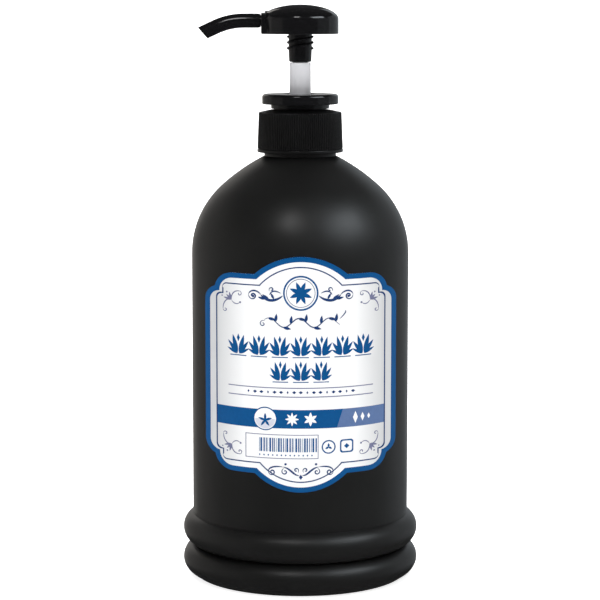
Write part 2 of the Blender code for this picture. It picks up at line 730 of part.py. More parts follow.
def pump_head(colour):
    """The press head: a hollow dome with a threaded sleeve, a spout boss and stiffening ribs."""
    ceiling = HEAD_TOP_Z - HEAD_WALL
    inner = HEAD_RADIUS - HEAD_WALL
    column = SLEEVE_TOP_RADIUS
    cavity = dome(inner, HEAD_SHOULDER_Z - 0.4 * MM, ceiling, 6, stop_radius=column + MM)
    profile = dome(HEAD_RADIUS, HEAD_SHOULDER_Z, HEAD_TOP_Z, 7)
    profile += [
        (HEAD_RADIUS, HEAD_BASE_Z + 0.3 * MM),
        (HEAD_RADIUS - 0.3 * MM, HEAD_BASE_Z),
        (inner, HEAD_BASE_Z),
    ]
    profile += cavity[::-1]
    profile += [
        (column, ceiling - 0.6 * MM),
        (column, LOCK_TOP - 5.5 * MM),
        (SLEEVE_RADIUS, SLEEVE_BOTTOM + 0.4 * MM),
        (SLEEVE_RADIUS - 0.3 * MM, SLEEVE_BOTTOM),
        (SLEEVE_BORE, SLEEVE_BOTTOM),
        (SLEEVE_BORE, STEM_TOP + CLEARANCE),
        (CHANNEL_RADIUS, STEM_TOP + CLEARANCE),
        (CHANNEL_RADIUS, SPOUT_Z + CHANNEL_RADIUS),
        (0.0, SPOUT_Z + CHANNEL_RADIUS),
    ]
    obj = turned("pump_head", profile, BIG, closed=False)
    for piece in spout_boss() + head_ribs() + lock_threads():
        boolean(obj, piece, "UNION")
    outer = (BOSS_FACE_X - 4 * MM, 0.0, SPOUT_Z)
    inner_end = (SPIGOT_END + CLEARANCE, 0.0, SPOUT_Z)
    socket = rod("nozzle_socket", outer, inner_end, SPIGOT_RADIUS + CLEARANCE)
    channel = rod("spout_channel", (-0.018, 0.0, SPOUT_Z), (0.0, 0.0, SPOUT_Z), CHANNEL_RADIUS, 20)
    boolean(obj, helper(socket), "DIFFERENCE")
    return part(boolean(obj, helper(channel), "DIFFERENCE"), colour)


def spout_boss():
    """The flat-faced boss on the head's rim and the tube behind it."""
    back = -12.5 * MM
    block = box("boss", (BOSS_FACE_X, -BOSS_HALF_WIDTH, HEAD_BASE_Z), (back, BOSS_HALF_WIDTH, BOSS_TOP_Z))
    edge = block.modifiers.new("round", "BEVEL")
    edge.width = 0.7 * MM
    edge.segments = 2
    duct = rod("duct", (-14.8 * MM, 0.0, SPOUT_Z), (-3.0 * MM, 0.0, SPOUT_Z), 4.1 * MM, 24)
    return [helper(block), helper(duct)]


def head_ribs():
    """Thin plates under the dome, from the column to the wall, clear of the duct."""
    ribs = []
    for i in range(5):
        turn = Matrix.Rotation(math.radians(60.0 * (i + 1)) + math.pi, 4, "Z")
        low = (4.5 * MM, -0.45 * MM, HEAD_BASE_Z + 2.5 * MM)
        high = (HEAD_RADIUS - 0.8 * MM, 0.45 * MM, HEAD_SHOULDER_Z + 1.2 * MM)
        plate = box(f"head_rib_{i}", low, high)
        plate.data.transform(turn)
        ribs.append(helper(plate))
    return ribs


def lock_threads():
    """The two ridges of the male lock thread below the head."""
    low = LOCK_TOP - LOCK_TURNS * LOCK_LEAD
    threads = []
    for start in range(LOCK_STARTS):
        angle = LOCK_START + 2 * math.pi * start / LOCK_STARTS
        name = f"lock_thread_{start}"
        root = SLEEVE_RADIUS - 0.4 * MM
        thread = ridge(name, root, LOCK_CREST, 1.3 * MM, low, LOCK_LEAD, LOCK_TURNS, angle)
        threads.append(thread)
    return threads


def nozzle_path(tail):
    """The nozzle's centre line: straight out of the boss, then a bend and a straight tail."""
    start = BOSS_FACE_X - CLEARANCE
    points = [Vector((start, 0.0, SPOUT_Z)), Vector((NOZZLE_BEND_START, 0.0, SPOUT_Z))]
    centre_z = SPOUT_Z - NOZZLE_BEND
    for i in range(1, 7):
        angle = NOZZLE_DROOP * i / 6
        x = NOZZLE_BEND_START - NOZZLE_BEND * math.sin(angle)
        points.append(Vector((x, 0.0, centre_z + NOZZLE_BEND * math.cos(angle))))
    along = Vector((-math.cos(NOZZLE_DROOP), 0.0, -math.sin(NOZZLE_DROOP)))
    points.append(points[-1] + along * tail)
    return points, along


def nozzle(colour):
    """The drooping spout tube with its thinner spigot in the boss and an oblique mouth."""
    spare = 4 * MM
    points, along = nozzle_path(NOZZLE_TAIL + spare)
    obj = meshed(wire("nozzle", points, NOZZLE_RADIUS, 4))
    butt = points[0] - Vector((MM, 0.0, 0.0))
    spigot = rod("spigot", butt, (SPIGOT_END, 0.0, SPOUT_Z), SPIGOT_RADIUS)
    boolean(obj, helper(spigot), "UNION")
    bore = [butt] + points[1:-1] + [points[-1] + along * spare]
    boolean(obj, helper(meshed(wire("nozzle_bore", bore, NOZZLE_BORE, 2))), "DIFFERENCE")
    throat = (SPIGOT_END + spare, 0.0, SPOUT_Z)
    drill = rod("spigot_bore", butt - Vector((MM, 0.0, 0.0)), throat, SPIGOT_BORE)
    boolean(obj, helper(drill), "DIFFERENCE")
    mouth = points[-1] - along * spare
    reach = 6 * NOZZLE_RADIUS
    slab = box("mouth_cut", (-reach, -reach, -reach), (0.0, reach, reach))
    lean = -NOZZLE_DROOP - NOZZLE_TIP_CUT
    slab.data.transform(Matrix.Translation(mouth) @ Matrix.Rotation(lean, 4, "Y"))
    return part(boolean(obj, helper(slab), "DIFFERENCE"), colour)


def build():
    matt_black = material("matt_black_hdpe", (0.012, 0.012, 0.012), 0.55)
    satin_black = material("satin_black_pp", (0.010, 0.010, 0.010), 0.38)
    gloss_black = material("gloss_black_pp", (0.010, 0.010, 0.011), 0.18)
    white = material("white_pp", (0.82, 0.82, 0.84), 0.35)
    natural = material("natural_pp", (0.86, 0.86, 0.84), 0.40)
    soft = material("soft_ldpe", (0.80, 0.80, 0.78), 0.50)
    foam = material("gasket_foam", (0.72, 0.72, 0.70), 0.80)
    steel = material("spring_steel", (0.62, 0.62, 0.60), 0.28, 1.0)
    glass = material("ball_glass", (0.75, 0.85, 0.85), 0.05)
    paper = material("label_film", (0.86, 0.87, 0.88), 0.45)

    bottle(matt_black)
    front_label(paper)
    closure(satin_black)
    gasket(foam)
    housing(natural)
    inlet_ball(glass)
    ball_cage(natural)
    dip_tube(natural)
    return_spring(steel)
    locking_collar(gloss_black)
    stem_wiper(soft)
    piston_rod(natural)
    piston_seal(soft)
    stem(white)
    pump_head(gloss_black)
    nozzle(gloss_black)


build()
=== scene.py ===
import math

import bmesh
import bpy
from mathutils import Matrix, Vector


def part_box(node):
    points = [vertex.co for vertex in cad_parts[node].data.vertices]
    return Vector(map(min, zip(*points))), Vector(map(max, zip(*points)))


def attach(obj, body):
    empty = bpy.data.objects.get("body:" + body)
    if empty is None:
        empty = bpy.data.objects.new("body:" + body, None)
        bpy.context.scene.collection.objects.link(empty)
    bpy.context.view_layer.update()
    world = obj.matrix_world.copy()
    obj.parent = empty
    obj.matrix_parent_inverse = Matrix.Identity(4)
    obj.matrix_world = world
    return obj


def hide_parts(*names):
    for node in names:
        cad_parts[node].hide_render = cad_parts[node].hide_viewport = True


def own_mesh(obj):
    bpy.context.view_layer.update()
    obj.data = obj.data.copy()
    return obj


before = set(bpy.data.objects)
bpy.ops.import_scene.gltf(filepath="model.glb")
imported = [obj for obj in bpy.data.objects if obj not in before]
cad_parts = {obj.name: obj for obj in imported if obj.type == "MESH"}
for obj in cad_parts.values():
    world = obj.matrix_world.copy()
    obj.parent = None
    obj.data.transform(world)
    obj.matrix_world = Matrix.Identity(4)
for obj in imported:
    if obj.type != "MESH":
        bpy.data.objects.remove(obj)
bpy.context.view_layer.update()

MM = 0.001
TURN = 2 * math.pi

# Sizes shared with the CAD, in millimetres
BODY = 46.1
WALL = 1.3
LOW_BEAD = (43.9, 7.1)
LOW_BEAD_ARC = 6.45
LOW_BEAD_START = math.radians(-72.0)
HIGH_BEAD = (43.3, 20.3)
HIGH_BEAD_ARC = 7.0
NOTCH = (44.865, 13.477)
SHOULDER_Z = 138.3
SHOULDER_ARC = 39.3
SHOULDER_BREAK = math.radians(47.6)
FLANK_ARC = 81.6
FOOT = 44.9
NECK_RING = 15.2
NECK = 14.8
NECK_BORE = 12.4
RIM_Z = 193.5
NECK_PITCH = 4.233
NECK_THREAD_Z = 184.7
CAP_LOW = 181.4
CAP_HIGH = 198.3
CAP_CEILING = 196.9
CAP_BORE = 16.2
RIBS = 120
COLLAR_TOP = 205.9
SLEEVE_LOW = 219.3
LOCK_TOP = 230.3
LOCK_LEAD = 4.84
LOCK_TURNS = 1.2
LOCK_START = math.radians(-40.0)
HEAD = 16.2
HEAD_LOW = 231.0
HEAD_SHOULDER = 237.3
HEAD_TOP = 243.3
HEAD_POWER = 1.98
HEAD_WALL = 1.6
SPOUT_Z = 236.55
SPOUT = 3.0
SPOUT_BORE = 1.9
SPIGOT = 2.3
SPIGOT_BORE = 1.5
SPIGOT_END = -10.6
BOSS_FACE = -16.4
GAP = 0.3

# The label as drawn: half its width seen from the front, its top and bottom, its border's width
LABEL_HALF = 39.95
LABEL_TOP = 141.5
LABEL_LOW = 43.2
LABEL_MIDDLE = (LABEL_TOP + LABEL_LOW) / 2
BORDER = 2.15
# How the whole drawing is scaled and placed on the bottle
PRINT_SCALE = 0.992
PRINT_TOP = 141.65
PRINT_SHIFT = 0.25


# Shapes ------------


def rounded(points, steps=4):
    """A polyline whose corners with a third number are rounded off by that many millimetres."""
    out = []
    for i, point in enumerate(points):
        here = Vector(point[:2])
        cut = point[2] if len(point) > 2 else 0.0
        if cut <= 0.0 or i in (0, len(points) - 1):
            out.append(tuple(here))
            continue
        back = Vector(points[i - 1][:2]) - here
        ahead = Vector(points[i + 1][:2]) - here
        start = here + back.normalized() * min(cut, back.length * 0.48)
        end = here + ahead.normalized() * min(cut, ahead.length * 0.48)
        for k in range(steps + 1):
            t = k / steps
            out.append(tuple(start * (1 - t) ** 2 + here * (2 * t * (1 - t)) + end * t * t))
    return out


def arc(centre, radius, start, end, steps):
    """Points on an arc, angles in radians from the first axis."""
    points = []
    for i in range(steps + 1):
        angle = start + (end - start) * i / steps
        points.append((centre[0] + radius * math.cos(angle), centre[1] + radius * math.sin(angle)))
    return points


def even(columns):
    """Evenly spaced angles round the axis."""
    return [TURN * i / columns for i in range(columns)]


def lathe(profile, angles, closed=True, shape=None):
    """Vertices and faces of a solid of revolution. A point on the axis becomes a pole."""
    verts, rows, faces = [], [], []
    for radius, height in profile:
        first = len(verts)
        if radius < 1e-6:
            verts.append((0.0, 0.0, height))
            rows.append([first] * len(angles))
            continue
        for angle in angles:
            reach = shape(radius, height, angle) if shape else radius
            verts.append((reach * math.cos(angle), reach * math.sin(angle), height))
        rows.append(list(range(first, first + len(angles))))
    following = rows[1:] + ([rows[0]] if closed else [])
    for upper, lower in zip(rows, following):
        for i in range(len(angles)):
            j = (i + 1) % len(angles)
            ring = [upper[i], lower[i], lower[j], upper[j]]
            face = [v for k, v in enumerate(ring) if v != ring[k - 1]]
            if len(face) > 2:
                faces.append(face)
    return verts, faces


def strip(steps, sides):
    """Faces that join steps + 1 rings of vertices, in order, into a closed bar with flat ends."""
    faces = []
    for i in range(steps):
        for k in range(sides):
            n = (k + 1) % sides
            low, high = i * sides, (i + 1) * sides
            faces.append([low + k, low + n, high + n, high + k])
    return faces + [list(range(sides)), [steps * sides + k for k in range(sides)]]


def thread(root, crest, foot, start_z, lead, turns, start=0.0, per_turn=48):
    """One right-handed thread ridge with a rounded crest, running out softly at both ends."""
    verts = []
    steps = round(turns * per_turn)
    half = ((0.0, -0.5), (0.62, -0.30), (0.92, -0.17))
    section = half + ((1.0, 0.0),) + tuple((out, -up) for out, up in reversed(half))
    for i in range(steps + 1):
        angle = start + TURN * turns * i / steps
        ease = min(1.0, min(i, steps - i) / (per_turn * 0.09))
        full = 0.04 + 0.96 * ease * ease * (3 - 2 * ease)
        for out, up in section:
            radius = root + (crest - root) * out * full
            z = start_z + lead * turns * i / steps + foot * up * (0.4 + 0.6 * full)
            verts.append((radius * math.cos(angle), radius * math.sin(angle), z))
    return verts, strip(steps, len(section))


def block(low, high):
    """Vertices and faces of a box between two corners."""
    (x0, y0, z0), (x1, y1, z1) = low, high
    verts = [(x, y, z) for x in (x0, x1) for y in (y0, y1) for z in (z0, z1)]
    faces = [[0, 1, 3, 2], [4, 6, 7, 5], [0, 4, 5, 1], [2, 3, 7, 6], [0, 2, 6, 4], [1, 5, 7, 3]]
    return verts, faces


def swept(points, rings, sides=48, cut=0.0):
    """A round solid along points in the XZ plane.

    rings lists (point number, radius) all the way round its section: out along the outside and back
    along the bore. cut leans the plane of the last point's rings by that angle.
    """
    verts, rows = [], []
    for index, radius in rings:
        here = Vector(points[index])
        before = Vector(points[max(index - 1, 0)])
        after = Vector(points[min(index + 1, len(points) - 1)])
        along = (after - before).normalized()
        up = Vector((along.z, 0.0, -along.x))
        if up.z < 0:
            up = -up
        lean = math.tan(cut) if index == len(points) - 1 else 0.0
        row = []
        for angle in even(sides):
            rise = radius * math.sin(angle)
            side = radius * math.cos(angle)
            spot = here + up * rise + Vector((0.0, side, 0.0)) + along * rise * lean
            row.append(len(verts))
            verts.append(tuple(spot))
        rows.append(row)
    faces = []
    for upper, lower in zip(rows, rows[1:] + rows[:1]):
        for i in range(sides):
            j = (i + 1) % sides
            faces.append([upper[i], lower[i], lower[j], upper[j]])
    return verts, faces


def build(name, shells, sharp=32.0):
    """An object in metres of closed shells in millimetres, faces outwards, creased at sharp edges."""
    bm = bmesh.new()
    for verts, faces in shells:
        made = [bm.verts.new([c * MM for c in v]) for v in verts]
        for face in faces:
            bm.faces.new([made[i] for i in face])
    return finish_mesh(name, bm, sharp)


def finish_mesh(name, bm, sharp=32.0):
    """Turns a bmesh into a smooth-shaded object with its faces outwards."""
    bmesh.ops.recalc_face_normals(bm, faces=bm.faces)
    mesh = bpy.data.meshes.new(name)
    bm.to_mesh(mesh)
    bm.free()
    mesh.shade_smooth()
    mesh.set_sharp_from_angle(angle=math.radians(sharp))
    obj = bpy.data.objects.new(name, mesh)
    bpy.context.scene.collection.objects.link(obj)
    return obj


def carve(obj, tool, operation, bevel=0.0):
    """Applies a Boolean with a tool object, which is then removed."""
    if bevel:
        edge = tool.modifiers.new("edge", "BEVEL")
        edge.width = bevel
        edge.segments = 3
    modifier = obj.modifiers.new("carve", "BOOLEAN")
    modifier.operation = operation
    modifier.object = tool
    bpy.context.view_layer.update()
    graph = bpy.context.evaluated_depsgraph_get()
    mesh = bpy.data.meshes.new_from_object(obj.evaluated_get(graph))
    obj.modifiers.clear()
    mesh.name = obj.name
    old = obj.data
    obj.data = mesh
    bpy.data.meshes.remove(old)
    bpy.data.objects.remove(tool)
    mesh.shade_smooth()
    mesh.set_sharp_from_angle(angle=math.radians(32.0))
    return obj


def place(obj, body, node, material):
    """Rides a piece on its body, in place of its CAD node."""
    obj.data.materials.clear()
    obj.data.materials.append(material)
    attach(obj, body)
    if node:
        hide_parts(node)
    return obj


# Materials ------------

# How far light spreads inside the white and the milky plastic, in metres
SCATTER = (0.002, 0.002, 0.002)
# The film's white, its grey at the sides (partly the print's own vignette, partly painted shade), and
# how far from the middle it turns from one to the other
PAPER = (0.90, 0.905, 0.91)
PAPER_SIDE_SHADE = (0.58, 0.59, 0.60)
SIDE_SHADE_TURN = (0.0225, 0.0350)


class Shader:
    """A Principled material whose varying inputs come from procedural textures in object space."""

    def __init__(self, name, colour, roughness, metallic=0.0, **constants):
        self.material = bpy.data.materials.new(name)
        self.material.use_nodes = True
        self.tree = self.material.node_tree
        self.bsdf = self.tree.nodes["Principled BSDF"]
        self.coords = self.tree.nodes.new("ShaderNodeTexCoord").outputs["Object"]
        self.colour = colour
        self.bsdf.inputs["Base Color"].default_value = (*colour, 1.0)
        self.bsdf.inputs["Roughness"].default_value = roughness
        self.bsdf.inputs["Metallic"].default_value = metallic
        self.roughness = roughness
        self.normal = None
        for key, value in constants.items():
            self.bsdf.inputs[key.replace("_", " ")].default_value = value

    def node(self, kind, **inputs):
        """A node with values or links on its inputs."""
        made = self.tree.nodes.new(kind)
        for key, value in inputs.items():
            self.put(made.inputs[key.replace("_", " ")], value)
        return made

    def put(self, socket, value):
        """Sets a socket, or links an output to it."""
        if isinstance(value, bpy.types.NodeSocket):
            self.tree.links.new(value, socket)
        else:
            socket.default_value = value

    def noise(self, scale, detail=2.0, stretch=None):
        """A noise value; stretch scales the coordinates first."""
        coords = self.coords
        if stretch:
            mapping = self.node("ShaderNodeMapping", Vector=coords)
            mapping.inputs["Scale"].default_value = stretch
            coords = mapping.outputs["Vector"]
        made = self.node("ShaderNodeTexNoise", Vector=coords, Scale=scale, Detail=detail)
        return made.outputs["Fac"]

    def spread(self, value, low, high, from_low=0.3, from_high=0.7):
        """Maps a value from its own range to another."""
        mapped = self.node("ShaderNodeMapRange", Value=value)
        limits = {"From Min": from_low, "From Max": from_high, "To Min": low, "To Max": high}
        for key, number in limits.items():
            mapped.inputs[key].default_value = number
        return mapped.outputs["Result"]

    def mottle(self, scale, amount, tint=None):
        """Varies the colour between darker and lighter, or towards a tint."""
        dark = [c * (1 - amount) for c in self.colour]
        light = tint or [c * (1 + amount) for c in self.colour]
        mix = self.tree.nodes.new("ShaderNodeMix")
        mix.data_type = "RGBA"
        self.put(mix.inputs[0], self.spread(self.noise(scale, 4.0), 0.0, 1.0))
        mix.inputs[6].default_value = (*dark, 1.0)
        mix.inputs[7].default_value = (*light, 1.0)
        self.put(self.bsdf.inputs["Base Color"], mix.outputs[2])
        return self

    def wear(self, scale, amount, stretch=None):
        """Varies the roughness, as handling and the mould's finish do."""
        smooth, rough = self.roughness - amount, self.roughness + amount
        value = self.spread(self.noise(scale, 5.0, stretch), smooth, rough)
        self.put(self.bsdf.inputs["Roughness"], value)
        return self

    def relief(self, scale, depth, detail=2.0, stretch=None):
        """Adds surface relief of a depth in millimetres; calls add up."""
        bump = self.node("ShaderNodeBump", Height=self.noise(scale, detail, stretch))
        bump.inputs["Strength"].default_value = 1.0
        bump.inputs["Distance"].default_value = depth * MM
        if self.normal:
            self.put(bump.inputs["Normal"], self.normal)
        self.normal = bump.outputs["Normal"]
        self.put(self.bsdf.inputs["Normal"], self.normal)
        return self


def bottle_material():
    """Matt black blow-moulded plastic: blasted grain, slight waviness, faint upright rub marks."""
    made = Shader("matt_black", (0.0092, 0.0092, 0.0091), 0.40, Specular_IOR_Level=0.42)
    made.mottle(30.0, 0.10).wear(55.0, 0.035, (1.0, 1.0, 0.25))
    made.relief(28.0, 0.05).relief(2600.0, 0.006, 3.0)
    return made.material


def cap_material():
    made = Shader("satin_black", (0.0050, 0.0050, 0.0052), 0.34, Specular_IOR_Level=0.45)
    made.mottle(90.0, 0.12).wear(120.0, 0.05).relief(1800.0, 0.004)
    return made.material


def head_material():
    """Gloss black moulded plastic with a trace of sink marks and fine handling haze."""
    made = Shader("gloss_black", (0.0055, 0.0055, 0.0062), 0.13, Specular_IOR_Level=0.5)
    made.mottle(60.0, 0.10).wear(260.0, 0.035).relief(110.0, 0.012).relief(1500.0, 0.0008)
    return made.material


def stem_material():
    made = Shader("white_plastic", (0.82, 0.82, 0.85), 0.30, Subsurface_Weight=0.12)
    made.bsdf.inputs["Subsurface Radius"].default_value = SCATTER
    made.mottle(140.0, 0.02).wear(300.0, 0.06, (1.0, 1.0, 0.05))
    made.relief(900.0, 0.002, 2.0, (1.0, 1.0, 0.04))
    return made.material


def natural_material(name, colour, roughness):
    """Milky natural plastic."""
    made = Shader(name, colour, roughness, Subsurface_Weight=0.2)
    made.bsdf.inputs["Subsurface Radius"].default_value = SCATTER
    made.mottle(120.0, 0.03).wear(240.0, 0.05).relief(700.0, 0.004)
    return made.material


def foam_material():
    made = Shader("gasket_foam", (0.70, 0.70, 0.68), 0.85)
    made.mottle(1500.0, 0.08).wear(900.0, 0.05).relief(2200.0, 0.05, 4.0)
    return made.material


def steel_material():
    """Drawn wire: fine marks along it and a little warmth."""
    made = Shader("spring_steel", (0.60, 0.60, 0.58), 0.25, metallic=1.0)
    made.mottle(400.0, 0.08).wear(800.0, 0.08).relief(4000.0, 0.002)
    return made.material


def ball_material():
    made = Shader("ball_glass", (0.80, 0.90, 0.90), 0.04, Transmission_Weight=0.9, IOR=1.5)
    made.mottle(600.0, 0.03).wear(900.0, 0.02)
    return made.material


def film_material():
    """White printed film: bright in the middle, soft grey towards the sides, partly the print's own
    vignette and partly painted shade.
    """
    made = Shader("label_film", PAPER, 0.36, Specular_IOR_Level=0.4)
    split = made.node("ShaderNodeSeparateXYZ", Vector=made.coords)
    across = made.node("ShaderNodeMath")
    across.operation = "ABSOLUTE"
    made.put(across.inputs[0], split.outputs["X"])
    # Painted shade: a mask that rises from the middle of the film towards its left and right sides,
    # broken up a little by noise.
    side = made.spread(across.outputs[0], 0.0, 1.0, *SIDE_SHADE_TURN)
    shade_cloud = made.spread(made.noise(35.0, 3.0), 0.85, 1.0)
    amount = made.node("ShaderNodeMath")
    amount.operation = "MULTIPLY"
    made.put(amount.inputs[0], side)
    made.put(amount.inputs[1], shade_cloud)
    # The film's colour turns from white to the painted side shade by that mask.
    mix = made.tree.nodes.new("ShaderNodeMix")
    mix.data_type = "RGBA"
    made.put(mix.inputs[0], amount.outputs[0])
    mix.inputs[6].default_value = (*PAPER, 1.0)
    mix.inputs[7].default_value = (*PAPER_SIDE_SHADE, 1.0)
    made.put(made.bsdf.inputs["Base Color"], mix.outputs[2])
    made.wear(90.0, 0.05).relief(900.0, 0.003, 4.0)
    return made.material


def ink_material(name, colour):
    """Printing ink on the film: a trace of mottle and the film's own sheen."""
    made = Shader(name, colour, 0.40, Specular_IOR_Level=0.1)
    made.mottle(700.0, 0.05).wear(90.0, 0.05).relief(900.0, 0.003, 4.0)
    return made.material


# Bottle ------------


def beads(offset, steps):
    """The two foot beads' arcs, from the foot up to the straight body."""
    low, high = LOW_BEAD_ARC - offset, HIGH_BEAD_ARC - offset
    low_end = math.atan2(NOTCH[1] - LOW_BEAD[1], NOTCH[0] - LOW_BEAD[0])
    high_start = math.atan2(NOTCH[1] - HIGH_BEAD[1], NOTCH[0] - HIGH_BEAD[0])
    high_end = math.acos((BODY - offset - HIGH_BEAD[0]) / high)
    lower = arc(LOW_BEAD, low, LOW_BEAD_START, 0.0, steps)
    lower += arc(LOW_BEAD, low, 0.0, low_end, steps)[1:]
    upper = arc(HIGH_BEAD, high, high_start, 0.0, steps)
    upper += arc(HIGH_BEAD, high, 0.0, high_end, steps)[1:]
    return lower[:-1] + [(NOTCH[0] - offset, NOTCH[1], 0.5)] + upper[1:]


def shoulder(offset, steps, end_radius):
    """The domed shoulder and its flatter flank, up to a radius."""
    back = SHOULDER_ARC - FLANK_ARC
    centre = (BODY - SHOULDER_ARC, SHOULDER_Z)
    across, up = back * math.cos(SHOULDER_BREAK), back * math.sin(SHOULDER_BREAK)
    flank = (centre[0] + across, centre[1] + up)
    end = math.acos((end_radius - flank[0]) / (FLANK_ARC - offset))
    points = arc(centre, SHOULDER_ARC - offset, 0.0, SHOULDER_BREAK, steps)
    return points + arc(flank, FLANK_ARC - offset, SHOULDER_BREAK, end, steps // 2)[1:]


def wall_radius(z):
    """Radius of the outer wall where the label is."""
    if z <= SHOULDER_Z:
        return BODY
    rise = z - SHOULDER_Z
    return BODY - SHOULDER_ARC + math.sqrt(SHOULDER_ARC ** 2 - rise * rise)


def bottle_profile(inner):
    """One side of the wall: inside from the middle up to the rim, or outside."""
    if inner:
        points = [(0.0, 4.5), (18.0, 4.2), (34.0, 3.4), (39.5, 1.6, 1.5), (43.4, 1.4, 1.0)]
        points += beads(WALL, 7) + [(BODY - WALL, 60.0), (BODY - WALL, 110.0)]
        points += shoulder(WALL, 20, NECK_BORE)
        return rounded(points + [(NECK_BORE, RIM_Z, 0.4), (NECK_BORE + 0.6, RIM_Z)])
    points = [(0.0, 3.2), (18.0, 2.9), (34.0, 2.1), (38.2, 1.3, 1.0), (39.8, 0.0, 0.6)]
    points += [(FOOT, 0.0, 0.5), (FOOT + 0.6, 0.4, 0.4)]
    points += beads(0.0, 14) + [(BODY, 34.0), (BODY, 60.0), (BODY, 110.0)]
    points += shoulder(0.0, 36, NECK_RING)
    points += [(NECK_RING, 181.1, 0.3), (NECK, 181.6, 0.3)]
    return rounded(points + [(NECK, RIM_Z, 0.4), (NECK_BORE + 0.6, RIM_Z)])


def seam(radius, height, angle):
    """The faint parting line that the two mould halves leave on each side of the outer skin."""
    ease = min(1.0, max(0.0, (height - 27.5) / 4.0), max(0.0, (radius - NECK_RING - 0.5) / 3.0))
    off = min(abs(math.sin(angle / 2)), abs(math.cos(angle / 2))) * 2 * radius
    proud, width = 0.07, 0.28
    return radius + proud * ease * math.exp(-(off / width) ** 2)


def pinch_off():
    """The low ridge across the base where the mould pinches the tube of plastic shut."""
    reach, steps = 34.0, 40
    verts = []
    for i in range(steps + 1):
        x = -reach + 2 * reach * i / steps
        flat = abs(x) < 18
        lift = 3.2 - 0.35 * (abs(x) / 18.0) ** 2 if flat else 2.9 - 0.8 * (abs(x) - 18) / 16
        thin = min(1.0, (reach - abs(x)) / 6.0 + 0.05)
        root, crest = lift + 0.2, lift - 0.32 * thin
        verts += [(x, -0.35 * thin, root), (x, 0.0, crest), (x, 0.35 * thin, root)]
    return verts, strip(steps, 3)


def make_bottle():
    """The blow-moulded bottle, with columns of faces close together at its two parting lines."""
    angles = even(240)
    for side in (0.0, math.pi):
        for off in (0.15, 0.32, 0.55):
            angles += [(side - off / BODY) % TURN, (side + off / BODY) % TURN]
    angles = sorted(set(round(a, 9) for a in angles))
    inside, outside = bottle_profile(True), bottle_profile(False)
    verts, faces = lathe(inside[:-1] + outside[::-1], angles, closed=False)
    shaped = lathe(outside[::-1], angles, closed=False, shape=seam)[0]
    wall = (verts[: len(verts) - len(shaped)] + shaped, faces)
    shells = [wall, thread(NECK - 0.3, NECK + 0.75, 2.4, NECK_THREAD_Z, NECK_PITCH, 1.5)]
    shells.append(pinch_off())
    shell = build("bottle_shell", shells, 40.0)
    place(shell, "bottle", "bottle", bottle_material())


# Cap, collar, head and spout ------------


def make_cap():
    """The screw cap: 120 fine grip ribs, a plain band at the foot, a shallow cone on top."""
    band = CAP_LOW + 1.3
    ribs_low, ribs_high = band + 0.05, 198.22
    outer = [
        (11.2, 197.4), (11.2, 199.4, 0.25), (13.0, 199.15), (16.2, 198.45, 0.3),
        (17.03, CAP_HIGH, 0.1), (17.13, 198.2, 0.06), (17.14, 198.1), (17.16, 197.9),
        (17.4, 192.0), (17.62, 186.0), (17.74, band + 0.7), (17.75, band + 0.35),
        (17.76, band + 0.06), (18.2, band - 0.1, 0.2), (18.2, CAP_LOW, 0.3),
        (CAP_BORE, CAP_LOW, 0.4), (CAP_BORE, CAP_CEILING, 0.4), (11.2, CAP_CEILING),
    ]

    def ribs(radius, height, angle):
        if radius < 17.05 or not ribs_low < height < ribs_high:
            return radius
        fade = min(1.0, (height - ribs_low) / 0.35, (ribs_high - height) / 0.12)
        wave = 0.5 + 0.5 * math.cos(angle * RIBS)
        return radius + 0.36 * fade * wave ** 0.6

    shells = [lathe(rounded(outer), even(RIBS * 6), shape=ribs)]
    thread_z = NECK_THREAD_Z - NECK_PITCH / 2
    shells.append(thread(CAP_BORE + 0.3, CAP_BORE - 0.5, 1.6, thread_z, NECK_PITCH, 1.5))
    cap = build("ribbed_cap", shells, 50.0)
    place(cap, "cap", "closure", cap_material())


def make_collar(gloss):
    """The locking collar: a thick disc with softened edges over a stepped spigot."""
    profile = [
        (6.05, 192.6), (6.05, COLLAR_TOP - 0.5, 0.3), (6.6, COLLAR_TOP, 0.35),
        (11.0, COLLAR_TOP - 0.02), (15.4, COLLAR_TOP - 0.05, 0.5), (16.2, COLLAR_TOP - 0.8, 0.6),
        (16.2, 201.85, 0.3), (15.9, 201.6, 0.2), (12.4, 201.6, 0.15), (12.4, 199.75, 0.2),
        (10.9, 199.75, 0.15), (10.9, CAP_CEILING, 0.15), (9.5, CAP_CEILING), (9.5, 202.0),
        (7.7, 202.0, 0.3), (7.7, 192.6, 0.2),
    ]
    shells = [lathe(rounded(profile), even(192))]
    for start in (0.0, math.pi):
        shells.append(thread(6.35, 5.2, 1.1, 197.6, LOCK_LEAD, 1.0, start))
    place(build("locking_disc", shells, 50.0), "pump_body", "locking_collar", gloss)


def dome(radius, low, high, steps, stop=0.0):
    """A flattened dome's profile from its centre out."""
    points = []
    for i in range(steps + 1):
        angle = math.pi / 2 * i / steps
        across = radius * math.sin(angle) ** (2 / HEAD_POWER)
        up = math.cos(angle) ** (2 / HEAD_POWER) if i < steps else 0.0
        if across >= stop:
            points.append((across, low + (high - low) * up))
    return points


